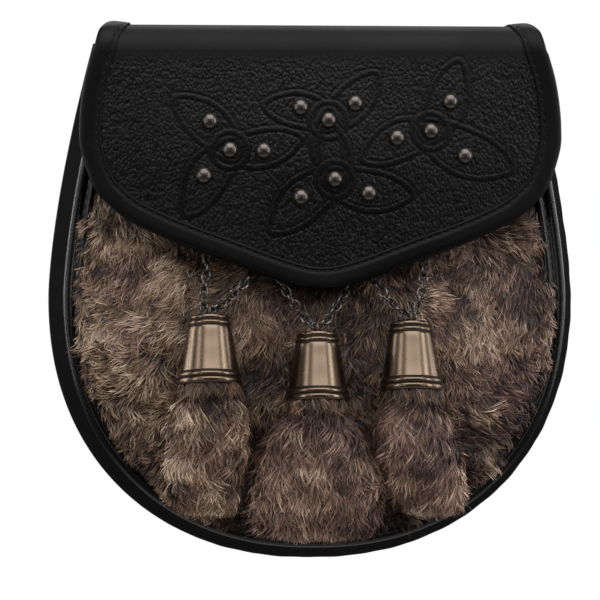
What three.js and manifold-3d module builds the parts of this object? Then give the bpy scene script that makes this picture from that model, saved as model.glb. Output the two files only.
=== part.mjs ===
// A sporran pouch: a flat leather bag of back panel, gusset and front panel, a pelt of fur on its
// front, a bound and studded flap that folds over its mouth, and three fur tassels in brass cones
// that hang on a fine chain. Millimetres, +Z up, +X to the viewer's right, the front facing -Y.
// The pouch hangs upright, and the origin lies between the two belt loops behind it.
// Until the last group, z = 0 is the pouch's lowest edge and y = 0 the back panel's outer face.

import * as THREE from 'three';
import { mergeVertices } from 'three/addons/utils/BufferGeometryUtils.js';
import Module from 'manifold-3d';

const GAP = 0.3;

// The bag's outline: a round bottom below the widest height, and sides that draw in to the top.
const BODY_HALF = 95;
const TOP_HALF = 78.8;
const BODY_TOP = 186.6;
const ROUND_POWER = 2.2;
const SIDE_POWER = 1.5;
const SIDE_STEPS = 6;
const ROUND_STEPS = 26;

const BACK_THICK = 2.2;
const FRONT_THICK = 1.6;
const FRONT_Y = -29.8;
const FRONT_TOP = 168;
const GUSSET_TOP = 184.6;
const PELT_TOP = 160;

// The gusset's wall as it is cut across: its depth, and how far in from the bag's outline it lies.
const GUSSET_OUTSIDE = [
  { y: -2.5, inset: 0.4 },
  { y: -9.5, inset: 0.8 },
  { y: -16.5, inset: 2.0 },
  { y: -23.0, inset: 4.0 },
  { y: -29.5, inset: 6.0 },
];
const GUSSET_THICK = 2;

// The leather binding that caps the front edge: a lip round the edge, a ridge, the sunk seam of its
// stitches and a flat inner margin.
const FRONT_BINDING = [
  { y: -29.8, inset: 6.1 },
  { y: -32.6, inset: 5.9 },
  { y: -34.0, inset: 6.9 },
  { y: -34.2, inset: 8.5 },
  { y: -33.3, inset: 9.8 },
  { y: -33.9, inset: 11.1 },
  { y: -33.4, inset: 12.9 },
  { y: -31.7, inset: 13.1 },
  { y: -31.7, inset: 7.7 },
  { y: -29.8, inset: 7.7 },
];
const FRONT_INSET = 8.0;
const PELT_INSET = 13.4;
const PELT_BACK_Y = -31.7;
const PELT_EDGE = 3.4;
const PELT_DOME = 4.6;
const PELT_UNDER_FLAP = 0.55;

// The flap: its leather's middle surface runs up the back, over the top and down the front.
const FLAP_SHIFT = 1.5;
const FLAP_THICK = 1.8;
const FLAP_TOP = 190;
const FLAP_BACK_Y = 3.2;
const FLAP_TONGUE_Z = 154;
const FLAP_FRONT_Y = -39.2;
const FLAP_BACK_BEND = 5;
const FLAP_FRONT_BEND = 9;
const FLAP_LEAN = THREE.MathUtils.degToRad(2.2);
const FLAP_TIP_Z = 97.1;
const FLAP_CROWN = 3.6;
const CROWN_HALF = 86;
const CROWN_START = 14;
const CROWN_REACH = 45;
const FOLD_BACK_HALF = 77.5;
const FOLD_FRONT_HALF = 79.4;
const FRONT_STEPS = 2;
const FLAP_COLUMNS = 8;

// The flap's half width down its back tongue, and down its front from the fold to the blunt point.
const TONGUE_OUTLINE = [
  { z: 154, half: 58 },
  { z: 155.5, half: 66 },
  { z: 162, half: 72 },
  { z: 178, half: 76 },
];
const FLAP_OUTLINE = [
  { z: 180.2, half: 80.6 },
  { z: 171.7, half: 82.9 },
  { z: 163.1, half: 84.3 },
  { z: 154.6, half: 84.9 },
  { z: 146.1, half: 84.4 },
  { z: 133.3, half: 80.0 },
  { z: 126.2, half: 74.0 },
  { z: 120.6, half: 66.6 },
  { z: 113.7, half: 51.8 },
  { z: 107.2, half: 34.2 },
  { z: 101.0, half: 17.5 },
  { z: 97.9, half: 7.0 },
];
const FLAP_EDGE_INSET = 1.4;

// The binding folded round the flap's edge, cut across: in from the edge, and out from the leather.
const FLAP_BINDING = [
  { inset: 0.5, out: -2.1 },
  { inset: 0.0, out: -1.4 },
  { inset: 0.0, out: 1.4 },
  { inset: 0.5, out: 2.1 },
  { inset: 7.4, out: 2.1 },
  { inset: 7.8, out: 1.2 },
  { inset: 1.0, out: 1.2 },
  { inset: 1.0, out: -1.2 },
  { inset: 7.8, out: -1.2 },
  { inset: 7.4, out: -2.1 },
];

// The domed nail heads on the flap.
const STUD_RADIUS = 2.9;
const STUD_HEIGHT = 2.3;
const DOME_SHOULDER = { r: 0.8, height: 0.68 };
const STUDS = [
  { x: -37.8, z: 155.9 }, { x: -30.8, z: 145.8 }, { x: -19.0, z: 145.5 }, { x: -39.9, z: 136.8 },
  { x: -6.0, z: 160.9 }, { x: 3.8, z: 156.4 }, { x: 13.2, z: 162.4 },
  { x: 27.9, z: 150.2 }, { x: 39.9, z: 152.7 }, { x: 46.9, z: 163.2 }, { x: 51.9, z: 144.0 },
  { x: 5.9, z: 135.5 }, { x: -6.0, z: 129.2 }, { x: 17.8, z: 130.6 },
];

// The three tassels. Each hangs below the middle of its cone's top; z is that top's height, lean
// tips the cone's mouth forward, and the fur's rows give its width, depth and sideways drift.
const CONE_HEIGHT = 24.3;
const CONE_LEAN = THREE.MathUtils.degToRad(9);
const CONE_WALL = 1.0;
const CONE_SEGMENTS = 16;
const EYE_RADIUS = 2.7;
const EYE_WIRE = 0.6;
const EYE_SUNK = 0.2;
const CONE_OUTSIDE = [
  { down: 0, r: 6.4 },
  { down: 0.6, r: 7.2 },
  { down: 1.9, r: 7.3 },
  { down: 3.8, r: 7.9 },
  { down: 20.0, r: 10.1 },
  { down: 21.4, r: 11.0 },
  { down: 23.6, r: 11.2 },
  { down: 24.3, r: 10.7 },
];
const TASSELS = [
  {
    side: 'left', x: -38.1, y: -47.6, z: 88.0,
    fur: [
      { z: 60.5, half: 12.0, deep: 8.6, drift: -0.2 },
      { z: 52.0, half: 13.4, deep: 9.4, drift: -0.6 },
      { z: 40.0, half: 14.2, deep: 9.6, drift: -1.1 },
      { z: 29.0, half: 13.4, deep: 8.8, drift: -1.3 },
      { z: 22.0, half: 10.8, deep: 6.6, drift: -0.8 },
      { z: 18.8, half: 6.0, deep: 3.4, drift: 0.6 },
    ],
  },
  {
    side: 'middle', x: -0.6, y: -47.6, z: 82.1,
    fur: [
      { z: 56.0, half: 12.6, deep: 8.6, drift: 0.0 },
      { z: 47.0, half: 17.2, deep: 9.6, drift: -0.3 },
      { z: 36.0, half: 21.8, deep: 9.8, drift: -0.8 },
      { z: 25.0, half: 23.6, deep: 8.8, drift: -0.6 },
      { z: 16.0, half: 20.6, deep: 6.8, drift: -0.4 },
      { z: 10.0, half: 11.5, deep: 3.6, drift: 0.2 },
    ],
  },
  {
    side: 'right', x: 32.0, y: -47.6, z: 85.7,
    fur: [
      { z: 58.4, half: 11.6, deep: 8.6, drift: 0.2 },
      { z: 50.0, half: 12.6, deep: 9.4, drift: 1.0 },
      { z: 40.0, half: 14.0, deep: 9.6, drift: 3.4 },
      { z: 30.0, half: 13.6, deep: 8.6, drift: 6.0 },
      { z: 23.0, half: 10.4, deep: 6.4, drift: 7.2 },
      { z: 18.6, half: 5.6, deep: 3.2, drift: 7.6 },
    ],
  },
];
const NECK_GAP = 0.45;
const FUR_SIDES = 14;

// The chain runs from a hanger on the pelt, through the eye of a cone, to the next hanger.
const CHAIN_RADIUS = 1.3;
const CHAIN_BOW = 1.6;
const CHAIN_TURN = { x: 2.2, z: 0.9 };
const CHAIN_STEPS = 22;
const HANGER_Y = -39.0;
const HANGERS = [
  { x: -36.0, z: 113.0, y: HANGER_Y },
  { x: -17.6, z: 107.0, y: HANGER_Y },
  { x: 15.6, z: 106.0, y: HANGER_Y },
  { x: 37.4, z: 112.0, y: HANGER_Y },
];
const HANGER_SPREAD = 2.2;
const HANGER_SIZE = 5;
const HANGER_THICK = 2.2;

// The snap under the flap's point, and the belt loops on the back.
const SNAP_RADIUS = 6;
const SNAP_Z = 118;
const LOOP_X = 46;
const LOOP_Z = 130;
const LOOP_WIDTH = 18;
const LOOP_TALL = 40;
const LOOP_FOOT = 7;
const LOOP_SLOPE = 1;
const LOOP_THICK = 2.2;
const LOOP_SLOT = 7;

const LEATHER = 0x17181a;
const GRAIN = 0x1c1e20;
const FUR = 0x6b5a4c;
const BRASS = 0x8d7a63;
const STUD_METAL = 0x6f675d;
const CHAIN_METAL = 0x2c2b2c;

const wasm = await Module();
wasm.setup();

const body = new THREE.Group();

function addPiece(name, geometry, color, roughness, metalness = 0) {
  const material = new THREE.MeshStandardMaterial({ color, roughness, metalness });
  const mesh = new THREE.Mesh(geometry, material);
  mesh.name = name;
  body.add(mesh);
  return mesh;
}

const leatherPiece = (name, geometry) => addPiece(name, geometry, LEATHER, 0.5);
const furPiece = (name, geometry) => addPiece(name, geometry, FUR, 1);

// A closed body from rings of points, each ring with the same number. Flat, the first ring's
// points laid out in two dimensions, shows how the end caps are cut into triangles.
function loft(rings, flat) {
  const count = rings[0].length;
  const positions = rings.flat().flatMap((point) => point.toArray());
  const faces = [];
  for (let ring = 0; ring + 1 < rings.length; ring += 1) {
    for (let i = 0; i < count; i += 1) {
      const a = ring * count + i;
      const b = ring * count + ((i + 1) % count);
      faces.push([a, b, b + count], [a, b + count, a + count]);
    }
  }
  const last = (rings.length - 1) * count;
  for (const [a, b, c] of THREE.ShapeUtils.triangulateShape(flat, [])) {
    faces.push([c, b, a], [last + a, last + b, last + c]);
  }
  return closedGeometry(positions, faces);
}

// Turns the faces so that they point out of the body, judged by the sign of its volume.
function closedGeometry(positions, faces) {
  const corner = (index) => new THREE.Vector3().fromArray(positions, 3 * index);
  let volume = 0;
  for (const [a, b, c] of faces) {
    volume += corner(a).dot(corner(b).cross(corner(c)));
  }
  const outward = volume > 0 ? faces : faces.map(([a, b, c]) => [c, b, a]);
  const geometry = new THREE.BufferGeometry();
  geometry.setAttribute('position', new THREE.Float32BufferAttribute(positions, 3));
  geometry.setIndex(outward.flat());
  return geometry;
}

// Lofts the rings with their flat outline turned anticlockwise, as the caps and walls must agree.
function loftOutline(flat, rings) {
  if (THREE.ShapeUtils.area(flat) > 0) {
    return loft(rings, flat);
  }
  return loft(rings.map((ring) => [...ring].reverse()), [...flat].reverse());
}

// The bag's outline from its top left corner round the bottom to its top right corner, each point
// with the direction that leads into the bag.
function bodyOutline(top) {
  const points = [];
  for (let i = 0; i < SIDE_STEPS; i += 1) {
    const z = THREE.MathUtils.lerp(top, BODY_HALF, i / SIDE_STEPS);
    points.push(new THREE.Vector2(-sideHalf(z), z));
  }
  for (let i = 0; i <= ROUND_STEPS; i += 1) {
    const angle = Math.PI * i / ROUND_STEPS;
    const across = Math.sign(Math.cos(angle)) * Math.abs(Math.cos(angle)) ** (2 / ROUND_POWER);
    const down = Math.abs(Math.sin(angle)) ** (2 / ROUND_POWER);
    points.push(new THREE.Vector2(-BODY_HALF * across, BODY_HALF * (1 - down)));
  }
  for (let i = SIDE_STEPS - 1; i >= 0; i -= 1) {
    points.push(new THREE.Vector2(-points[i].x, points[i].y));
  }
  return withInward(points);
}

// Gives each point of an outline the direction that leads in from the edge.
function withInward(points) {
  return points.map((point, i) => {
    const before = points[Math.max(i - 1, 0)];
    const after = points[Math.min(i + 1, points.length - 1)];
    const along = after.clone().sub(before).normalize();
    return { point, inward: new THREE.Vector2(-along.y, along.x) };
  });
}

function sideHalf(z) {
  const up = (z - BODY_HALF) / (BODY_TOP - BODY_HALF);
  return BODY_HALF - (BODY_HALF - TOP_HALF) * up ** SIDE_POWER;
}

function insetPoint({ point, inward }, inset) {
  return point.clone().addScaledVector(inward, inset);
}

// A strip of one cross section that follows the bag's outline.
function edgeStrip(top, section) {
  const rings = bodyOutline(top).map((place) => section.map(({ y, inset }) => {
    const { x, y: z } = insetPoint(place, inset);
    return new THREE.Vector3(x, y, z);
  }));
  return loftOutline(section.map(({ y, inset }) => new THREE.Vector2(inset, y)), rings);
}

// A flat panel with the bag's outline, from its front face at y to its back face.
function flatPanel(top, inset, y, thick) {
  const shape = new THREE.Shape(bodyOutline(top).map((place) => insetPoint(place, inset)));
  const panel = new THREE.ExtrudeGeometry(shape, { depth: thick, bevelEnabled: false });
  return panel.rotateX(Math.PI / 2).translate(0, y + thick, 0);
}

function addBag() {
  leatherPiece('back_panel', flatPanel(BODY_TOP, 0, -BACK_THICK, BACK_THICK));
  const inside = GUSSET_OUTSIDE.map(({ y, inset }) => ({ y, inset: inset + GUSSET_THICK }));
  const gusset = [...GUSSET_OUTSIDE, ...inside.reverse()];
  leatherPiece('gusset', edgeStrip(GUSSET_TOP, gusset));
  leatherPiece('front_panel', flatPanel(FRONT_TOP, FRONT_INSET, FRONT_Y - FRONT_THICK, FRONT_THICK));
  leatherPiece('front_binding', edgeStrip(FRONT_TOP, FRONT_BINDING));
}

// How far the pelt's fur stands at a place: full below the flap, and pressed flat under it.
function peltDepth(across, z) {
  const low = THREE.MathUtils.smoothstep(z, 6, 60);
  const free = 1 - (1 - PELT_UNDER_FLAP) * THREE.MathUtils.smoothstep(z, 96, 116);
  return (PELT_EDGE + PELT_DOME * (1 - across ** 2) ** 0.8 * low) * free;
}

function addPelt() {
  const outline = bodyOutline(PELT_TOP);
  const lowest = (outline.length - 1) / 2;
  const across = [-1, -0.9, -0.7, -0.4, 0, 0.4, 0.7, 0.9, 1];
  const rings = outline.slice(0, lowest).filter((_, i) => i % 2 === 0).map((place) => {
    const { x, y: z } = insetPoint(place, PELT_INSET);
    const front = across.map((t) => new THREE.Vector3(-x * t, PELT_BACK_Y - peltDepth(t, z), z));
    return [...front, new THREE.Vector3(-x, PELT_BACK_Y, z), new THREE.Vector3(x, PELT_BACK_Y, z)];
  });
  const flat = rings[0].map(({ x, y }) => new THREE.Vector2(x, y));
  furPiece('fur_panel', loftOutline(flat, rings));
}

// The line that the middle of the flap's leather follows from its back tongue over the top to the
// point, with y across and z up.
function flapLine() {
  const line = new THREE.Path();
  const frontCentre = new THREE.Vector2(FLAP_FRONT_Y + FLAP_FRONT_BEND, FLAP_TOP - FLAP_FRONT_BEND);
  const bendEnd = Math.PI - FLAP_LEAN;
  line.moveTo(FLAP_BACK_Y, FLAP_TONGUE_Z);
  line.lineTo(FLAP_BACK_Y, FLAP_TOP - FLAP_BACK_BEND);
  line.absarc(FLAP_BACK_Y - FLAP_BACK_BEND, FLAP_TOP - FLAP_BACK_BEND, FLAP_BACK_BEND, 0, Math.PI / 2);
  line.lineTo(frontCentre.x, FLAP_TOP);
  line.absarc(frontCentre.x, frontCentre.y, FLAP_FRONT_BEND, Math.PI / 2, bendEnd);
  const fall = line.currentPoint.y - FLAP_TIP_Z;
  line.lineTo(line.currentPoint.x - fall * Math.tan(FLAP_LEAN), FLAP_TIP_Z);
  return line;
}

const flapPath = flapLine();
const flapLength = flapPath.getLength();
const frontRun = flapPath.curves[flapPath.curves.length - 1];
const frontStart = flapLength - frontRun.getLength();

// How far along the flap's line a height lies, on the straight run down the front.
const alongFront = (z) => frontStart + (frontRun.v1.y - z) / Math.cos(FLAP_LEAN);

// The place on the flap at x across and a distance along its line, out from the leather's middle.
// The front swells a little over the fur and the bag's contents.
function onFlap(x, along, out) {
  const share = THREE.MathUtils.clamp(along / flapLength, 0, 1);
  const { x: y, y: z } = flapPath.getPointAt(share);
  const heading = flapPath.getTangentAt(share);
  const swell = THREE.MathUtils.smoothstep(along, frontStart - CROWN_START, frontStart + CROWN_REACH);
  const crown = FLAP_CROWN * swell * (1 - (x / CROWN_HALF) ** 2);
  const rise = out + crown;
  return new THREE.Vector3(x + FLAP_SHIFT, y + heading.y * rise, z - heading.x * rise);
}

// Half of the flap's outline, from the tongue's lower corner to the middle of the blunt point, as
// places across and along with the direction that leads into the leather.
function flapOutline() {
  const back = TONGUE_OUTLINE.map(({ z, half }) => new THREE.Vector2(half, z - FLAP_TONGUE_Z));
  const [backBend, top, frontBend, front] = flapPath.getCurveLengths();
  const bend = (start, end, half) => [0, 0.25, 0.5, 0.75, 1].map((t) => (
    new THREE.Vector2(half, THREE.MathUtils.lerp(start, end, t))
  ));
  const fold = [...bend(backBend, top, FOLD_BACK_HALF), ...bend(frontBend, front, FOLD_FRONT_HALF)];
  const low = FLAP_OUTLINE.map(({ z, half }) => new THREE.Vector2(half, alongFront(z)));
  const tip = new THREE.Vector2(0, flapLength);
  const mirrored = low.at(-1).clone().setX(-low.at(-1).x);
  const face = new THREE.SplineCurve([...low, tip, mirrored]);
  const steps = FRONT_STEPS * (face.points.length - 1);
  const places = [...back, ...fold, ...face.getPoints(steps)];
  return withInward(places).slice(0, -FRONT_STEPS);
}

function addFlap() {
  const half = flapOutline();
  const steps = Array.from({ length: FLAP_COLUMNS + 1 }, (_, i) => 2 * i / FLAP_COLUMNS - 1);
  const rings = half.slice(0, -1).map((place) => {
    const edge = insetPoint(place, FLAP_EDGE_INSET);
    const row = (side, out) => steps.map((t) => onFlap(side * t * edge.x, edge.y, out));
    return [...row(1, FLAP_THICK / 2), ...row(-1, -FLAP_THICK / 2)];
  });
  const face = steps.map((t) => new THREE.Vector2(t, 1));
  const flat = [...face, ...steps.map((t) => new THREE.Vector2(-t, 0))];
  addPiece('flap', loftOutline(flat, rings), GRAIN, 0.45);

  const mirrored = half.slice(0, -1).reverse().map(({ point, inward }) => ({
    point: new THREE.Vector2(-point.x, point.y),
    inward: new THREE.Vector2(-inward.x, inward.y),
  }));
  const strip = [...half, ...mirrored].map((place) => FLAP_BINDING.map(({ inset, out }) => {
    const spot = insetPoint(place, inset);
    return onFlap(spot.x, spot.y, out);
  }));
  const section = FLAP_BINDING.map(({ inset, out }) => new THREE.Vector2(inset, out));
  leatherPiece('flap_binding', loftOutline(section, strip));
}

// A turned shape standing along +Y of its mesh, from rows of radius and height.
function lathe(rows, segments) {
  return new THREE.LatheGeometry(rows.map(([r, height]) => new THREE.Vector2(r, height)), segments);
}

function addStuds() {
  const shoulder = [STUD_RADIUS * DOME_SHOULDER.r, STUD_HEIGHT * DOME_SHOULDER.height];
  const dome = [[0, 0], [STUD_RADIUS, 0], shoulder, [0, STUD_HEIGHT]];
  STUDS.forEach(({ x, z }, index) => {
    const name = `stud_${String(index + 1).padStart(2, '0')}`;
    const along = alongFront(z);
    const base = onFlap(x - FLAP_SHIFT, along, FLAP_THICK / 2 + GAP);
    const outward = onFlap(x - FLAP_SHIFT, along, FLAP_THICK / 2 + GAP + 1).sub(base).normalize();
    const stud = addPiece(name, lathe(dome, 9), STUD_METAL, 0.35, 1);
    stud.position.copy(base);
    stud.quaternion.setFromUnitVectors(new THREE.Vector3(0, 1, 0), outward);
  });
}

function toManifold(geometry) {
  const bare = geometry.clone();
  bare.deleteAttribute('normal');
  bare.deleteAttribute('uv');
  const merged = mergeVertices(bare, 1e-4);
  const vertProperties = Float32Array.from(merged.attributes.position.array);
  const triVerts = Uint32Array.from(merged.index.array);
  return new wasm.Manifold(new wasm.Mesh({ numProp: 3, vertProperties, triVerts }));
}

function fromManifold(solid) {
  const { vertProperties, triVerts } = solid.getMesh();
  const geometry = new THREE.BufferGeometry();
  geometry.setAttribute('position', new THREE.Float32BufferAttribute(vertProperties, 3));
  geometry.setIndex([...triVerts]);
  return geometry;
}

// A brass cup, open below, with a wire eye soldered on its closed top. Its top is at the origin.
function coneGeometry() {
  const outside = CONE_OUTSIDE.map(({ down, r }) => [r, -down]);
  const inside = [
    [CONE_OUTSIDE.at(-1).r - CONE_WALL, -CONE_HEIGHT],
    [CONE_OUTSIDE[3].r - CONE_WALL, -CONE_OUTSIDE[3].down],
    [CONE_OUTSIDE[1].r - CONE_WALL, -CONE_WALL],
  ];
  const profile = [[0, 0], ...outside, ...inside, [0, -CONE_WALL]].reverse();
  const cup = lathe(profile, CONE_SEGMENTS);
  const eye = new THREE.TorusGeometry(EYE_RADIUS, EYE_WIRE, 5, 10);
  eye.rotateY(Math.PI / 2).translate(0, EYE_RADIUS - EYE_SUNK, 0);
  const joined = toManifold(cup).add(toManifold(eye));
  return fromManifold(joined).rotateX(Math.PI / 2);
}

// A tassel's fur: a neck inside the cup, then the rows of its table as flattened rounds.
function tasselGeometry({ x, y, z, fur }) {
  const down = new THREE.Vector3(0, -Math.sin(CONE_LEAN), -Math.cos(CONE_LEAN));
  const top = new THREE.Vector3(x, y, z);
  const neck = [
    { along: CONE_WALL + NECK_GAP, r: CONE_OUTSIDE[1].r - CONE_WALL - NECK_GAP },
    { along: CONE_OUTSIDE[3].down, r: CONE_OUTSIDE[3].r - CONE_WALL - NECK_GAP },
    { along: CONE_HEIGHT + NECK_GAP, r: CONE_OUTSIDE.at(-1).r - CONE_WALL - NECK_GAP },
  ];
  const forward = new THREE.Vector3(0, -Math.cos(CONE_LEAN), Math.sin(CONE_LEAN));
  const turn = (i) => 2 * Math.PI * i / FUR_SIDES;
  const circle = Array.from({ length: FUR_SIDES }, (_, i) => [Math.cos(turn(i)), Math.sin(turn(i))]);
  const rings = neck.map(({ along, r }) => circle.map(([c, s]) => {
    const ring = top.clone().addScaledVector(down, along).addScaledVector(forward, r * s);
    return ring.setX(x + r * c);
  }));
  const mouthY = top.clone().addScaledVector(down, CONE_HEIGHT).y;
  for (const row of fur) {
    const centre = new THREE.Vector3(x + row.drift, mouthY, row.z);
    rings.push(circle.map(([c, s]) => {
      const reach = new THREE.Vector3(row.half * c, -row.deep * s, 0);
      return reach.add(centre);
    }));
  }
  return loftOutline(circle.map(([c, s]) => new THREE.Vector2(c, s)), rings);
}

function addTassels() {
  const cup = coneGeometry();
  for (const tassel of TASSELS) {
    const cone = addPiece(`cone_${tassel.side}`, cup.clone(), BRASS, 0.35, 1);
    cone.position.set(tassel.x, tassel.y, tassel.z);
    cone.rotation.x = -CONE_LEAN;
    furPiece(`tassel_${tassel.side}`, tasselGeometry(tassel));
  }
}

// One length of chain: down from a hanger, through a cone's eye, and up to the next hanger. Its two
// legs bow a little outwards.
function chainGeometry(from, tassel, to) {
  const low = tassel.z + EYE_RADIUS - EYE_SUNK;
  const half = (end, bow) => new THREE.Vector3(
    (end.x + tassel.x) / 2 + bow, (end.y + tassel.y) / 2, (end.z + low) / 2,
  );
  const route = new THREE.CatmullRomCurve3([
    new THREE.Vector3(from.x, from.y, from.z),
    half(from, -CHAIN_BOW),
    new THREE.Vector3(tassel.x - CHAIN_TURN.x, tassel.y, low + CHAIN_TURN.z),
    new THREE.Vector3(tassel.x, tassel.y, low),
    new THREE.Vector3(tassel.x + CHAIN_TURN.x, tassel.y, low + CHAIN_TURN.z),
    half(to, CHAIN_BOW),
    new THREE.Vector3(to.x, to.y, to.z),
  ]);
  const round = new THREE.Shape();
  round.absarc(0, 0, CHAIN_RADIUS, 0, 2 * Math.PI);
  return new THREE.ExtrudeGeometry(round, { steps: CHAIN_STEPS, curveSegments: 8, extrudePath: route });
}

function addChain() {
  TASSELS.forEach((tassel, index) => {
    const from = { ...HANGERS[index], x: HANGERS[index].x + (index > 0 ? HANGER_SPREAD : 0) };
    const to = { ...HANGERS[index + 1], x: HANGERS[index + 1].x - (index < 2 ? HANGER_SPREAD : 0) };
    addPiece(`chain_${tassel.side}`, chainGeometry(from, tassel, to), CHAIN_METAL, 0.4, 1);
  });
  HANGERS.forEach(({ x, y, z }, index) => {
    const plate = new THREE.BoxGeometry(2 * HANGER_SIZE, HANGER_THICK, HANGER_SIZE);
    const hanger = addPiece(`chain_hanger_${index + 1}`, plate, CHAIN_METAL, 0.4, 1);
    hanger.position.set(x, y, z + HANGER_SIZE / 2 + CHAIN_RADIUS / 2 + GAP);
  });
}

function addSnap() {
  const fur = PELT_BACK_Y - (PELT_EDGE + PELT_DOME) * PELT_UNDER_FLAP;
  const leather = onFlap(-FLAP_SHIFT, alongFront(SNAP_Z), -FLAP_THICK / 2).y;
  const tall = fur - leather - 4 * GAP;
  const button = [[0, 0], [SNAP_RADIUS, 0], [SNAP_RADIUS, tall], [0, tall]];
  const snap = addPiece('snap', lathe(button, 14), CHAIN_METAL, 0.4, 1);
  snap.position.set(0, leather + 2 * GAP, SNAP_Z);
}

// A strip of leather sewn down at both ends and arched over a slot that a belt passes through.
function addBeltLoops() {
  const high = LOOP_TALL / 2;
  const inner = high - LOOP_FOOT;
  const rise = inner - LOOP_SLOPE;
  const arch = new THREE.Shape([
    [-high, GAP], [-inner, GAP], [-rise, LOOP_SLOT], [rise, LOOP_SLOT], [inner, GAP], [high, GAP],
    [high, GAP + LOOP_THICK], [inner + LOOP_THICK, GAP + LOOP_THICK], [inner, LOOP_SLOT + LOOP_THICK],
    [-inner, LOOP_SLOT + LOOP_THICK], [-inner - LOOP_THICK, GAP + LOOP_THICK], [-high, GAP + LOOP_THICK],
  ].map(([z, y]) => new THREE.Vector2(-z, y)));
  const strap = new THREE.ExtrudeGeometry(arch, { depth: LOOP_WIDTH, bevelEnabled: false });
  strap.rotateY(Math.PI / 2);
  for (const [side, x] of [['left', -LOOP_X], ['right', LOOP_X]]) {
    const loop = leatherPiece(`belt_loop_${side}`, strap.clone());
    loop.position.set(x - LOOP_WIDTH / 2, 0, LOOP_Z);
  }
}

addBag();
addPelt();
addFlap();
addStuds();
addTassels();
addChain();
addSnap();
addBeltLoops();

const sporran = new THREE.Group();
body.position.set(0, -LOOP_SLOT / 2, -LOOP_Z);
sporran.add(body);

export default sporran;
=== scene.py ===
import math

import bpy
import numpy as np
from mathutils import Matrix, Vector
from mathutils.kdtree import KDTree


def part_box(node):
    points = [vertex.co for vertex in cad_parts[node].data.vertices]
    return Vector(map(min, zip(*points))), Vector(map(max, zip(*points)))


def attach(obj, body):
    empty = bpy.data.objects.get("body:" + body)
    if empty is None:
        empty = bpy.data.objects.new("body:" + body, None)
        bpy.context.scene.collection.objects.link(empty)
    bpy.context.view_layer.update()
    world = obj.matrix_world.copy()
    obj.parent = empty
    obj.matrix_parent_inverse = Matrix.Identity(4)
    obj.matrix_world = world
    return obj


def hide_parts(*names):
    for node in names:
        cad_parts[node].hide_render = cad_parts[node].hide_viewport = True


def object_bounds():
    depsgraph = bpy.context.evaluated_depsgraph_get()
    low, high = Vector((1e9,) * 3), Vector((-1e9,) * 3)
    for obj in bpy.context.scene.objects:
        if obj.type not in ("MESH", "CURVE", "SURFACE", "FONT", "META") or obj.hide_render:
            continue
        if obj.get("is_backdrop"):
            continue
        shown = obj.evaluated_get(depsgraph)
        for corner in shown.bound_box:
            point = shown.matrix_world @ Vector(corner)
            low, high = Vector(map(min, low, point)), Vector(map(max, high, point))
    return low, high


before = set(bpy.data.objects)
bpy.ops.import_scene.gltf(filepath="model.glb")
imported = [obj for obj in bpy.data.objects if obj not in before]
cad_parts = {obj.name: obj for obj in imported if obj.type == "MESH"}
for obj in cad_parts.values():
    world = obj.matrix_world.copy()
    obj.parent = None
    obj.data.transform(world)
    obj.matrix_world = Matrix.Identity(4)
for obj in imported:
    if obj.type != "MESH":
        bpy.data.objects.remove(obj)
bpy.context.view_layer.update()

# ---------------------------------------------------------------------------------------------
# The studio. The pouch hangs in front of a white sweep, and a long lens looks at it level and a
# little from its left. Narrow strips and soft boxes stand to both sides for the streaks on the
# brass, and a wide panel hangs overhead. The floor lies well below and is plain and pale.
# ---------------------------------------------------------------------------------------------

MM = 0.001
back_low, back_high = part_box("back_panel")
BAG_BOTTOM = back_low[2]
BAG_BACK = back_high[1]
BAG_MIDDLE = (back_low[0] + back_high[0]) / 2

CAMERA_AZIMUTH = math.radians(-3.5)
CAMERA_DISTANCE = 1.1
VIEW_WIDTH = 218.4 * MM
SENSOR_WIDTH = 36.0
camera_aim = Vector((BAG_MIDDLE - 3.64 * MM, BAG_BACK - 2 * MM, BAG_BOTTOM + 93.5 * MM))


def aim_at(placed, target):
    """Turns a camera or a lamp to face a point."""
    placed.rotation_mode = "QUATERNION"
    placed.rotation_quaternion = (Vector(target) - placed.location).to_track_quat("-Z", "Y")


camera_data = bpy.data.cameras.new("studio_camera")
camera_data.sensor_width = SENSOR_WIDTH
camera_data.lens = SENSOR_WIDTH * CAMERA_DISTANCE / VIEW_WIDTH
camera = bpy.data.objects.new("studio_camera", camera_data)
bpy.context.scene.collection.objects.link(camera)
toward_camera = Vector((math.sin(CAMERA_AZIMUTH), -math.cos(CAMERA_AZIMUTH), 0))
camera.location = camera_aim + toward_camera * CAMERA_DISTANCE
aim_at(camera, camera_aim)
bpy.context.scene.camera = camera
bpy.context.scene.view_settings.view_transform = "Standard"

SOFT_BOXES = [
    {"name": "near_left", "at": (-0.66, -1.15, 0.20), "size": (0.05, 0.8), "watts": 0.9},
    {"name": "near_right", "at": (0.74, -1.06, 0.20), "size": (0.05, 0.8), "watts": 1.1},
    {"name": "left_box", "at": (-1.15, -0.80, 0.25), "size": (0.30, 1.2), "watts": 6},
    {"name": "right_box", "at": (1.20, -0.62, 0.25), "size": (0.30, 1.2), "watts": 9},
    {"name": "ceiling", "at": (0.1, -0.85, 1.30), "size": (1.9, 1.6), "watts": 44},
    {"name": "left_edge", "at": (-1.3, 0.12, 0.10), "size": (0.25, 1.2), "watts": 7},
    {"name": "right_edge", "at": (1.3, 0.12, 0.10), "size": (0.25, 1.2), "watts": 5},
    {"name": "behind", "at": (0.1, 0.9, 1.25), "size": (1.0, 0.8), "watts": 8},
    {"name": "behind_left", "at": (-1.45, 0.72, 0.35), "size": (0.4, 0.9), "watts": 8},
    {"name": "behind_right", "at": (1.45, 0.72, 0.35), "size": (0.4, 0.9), "watts": 8},
]
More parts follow.
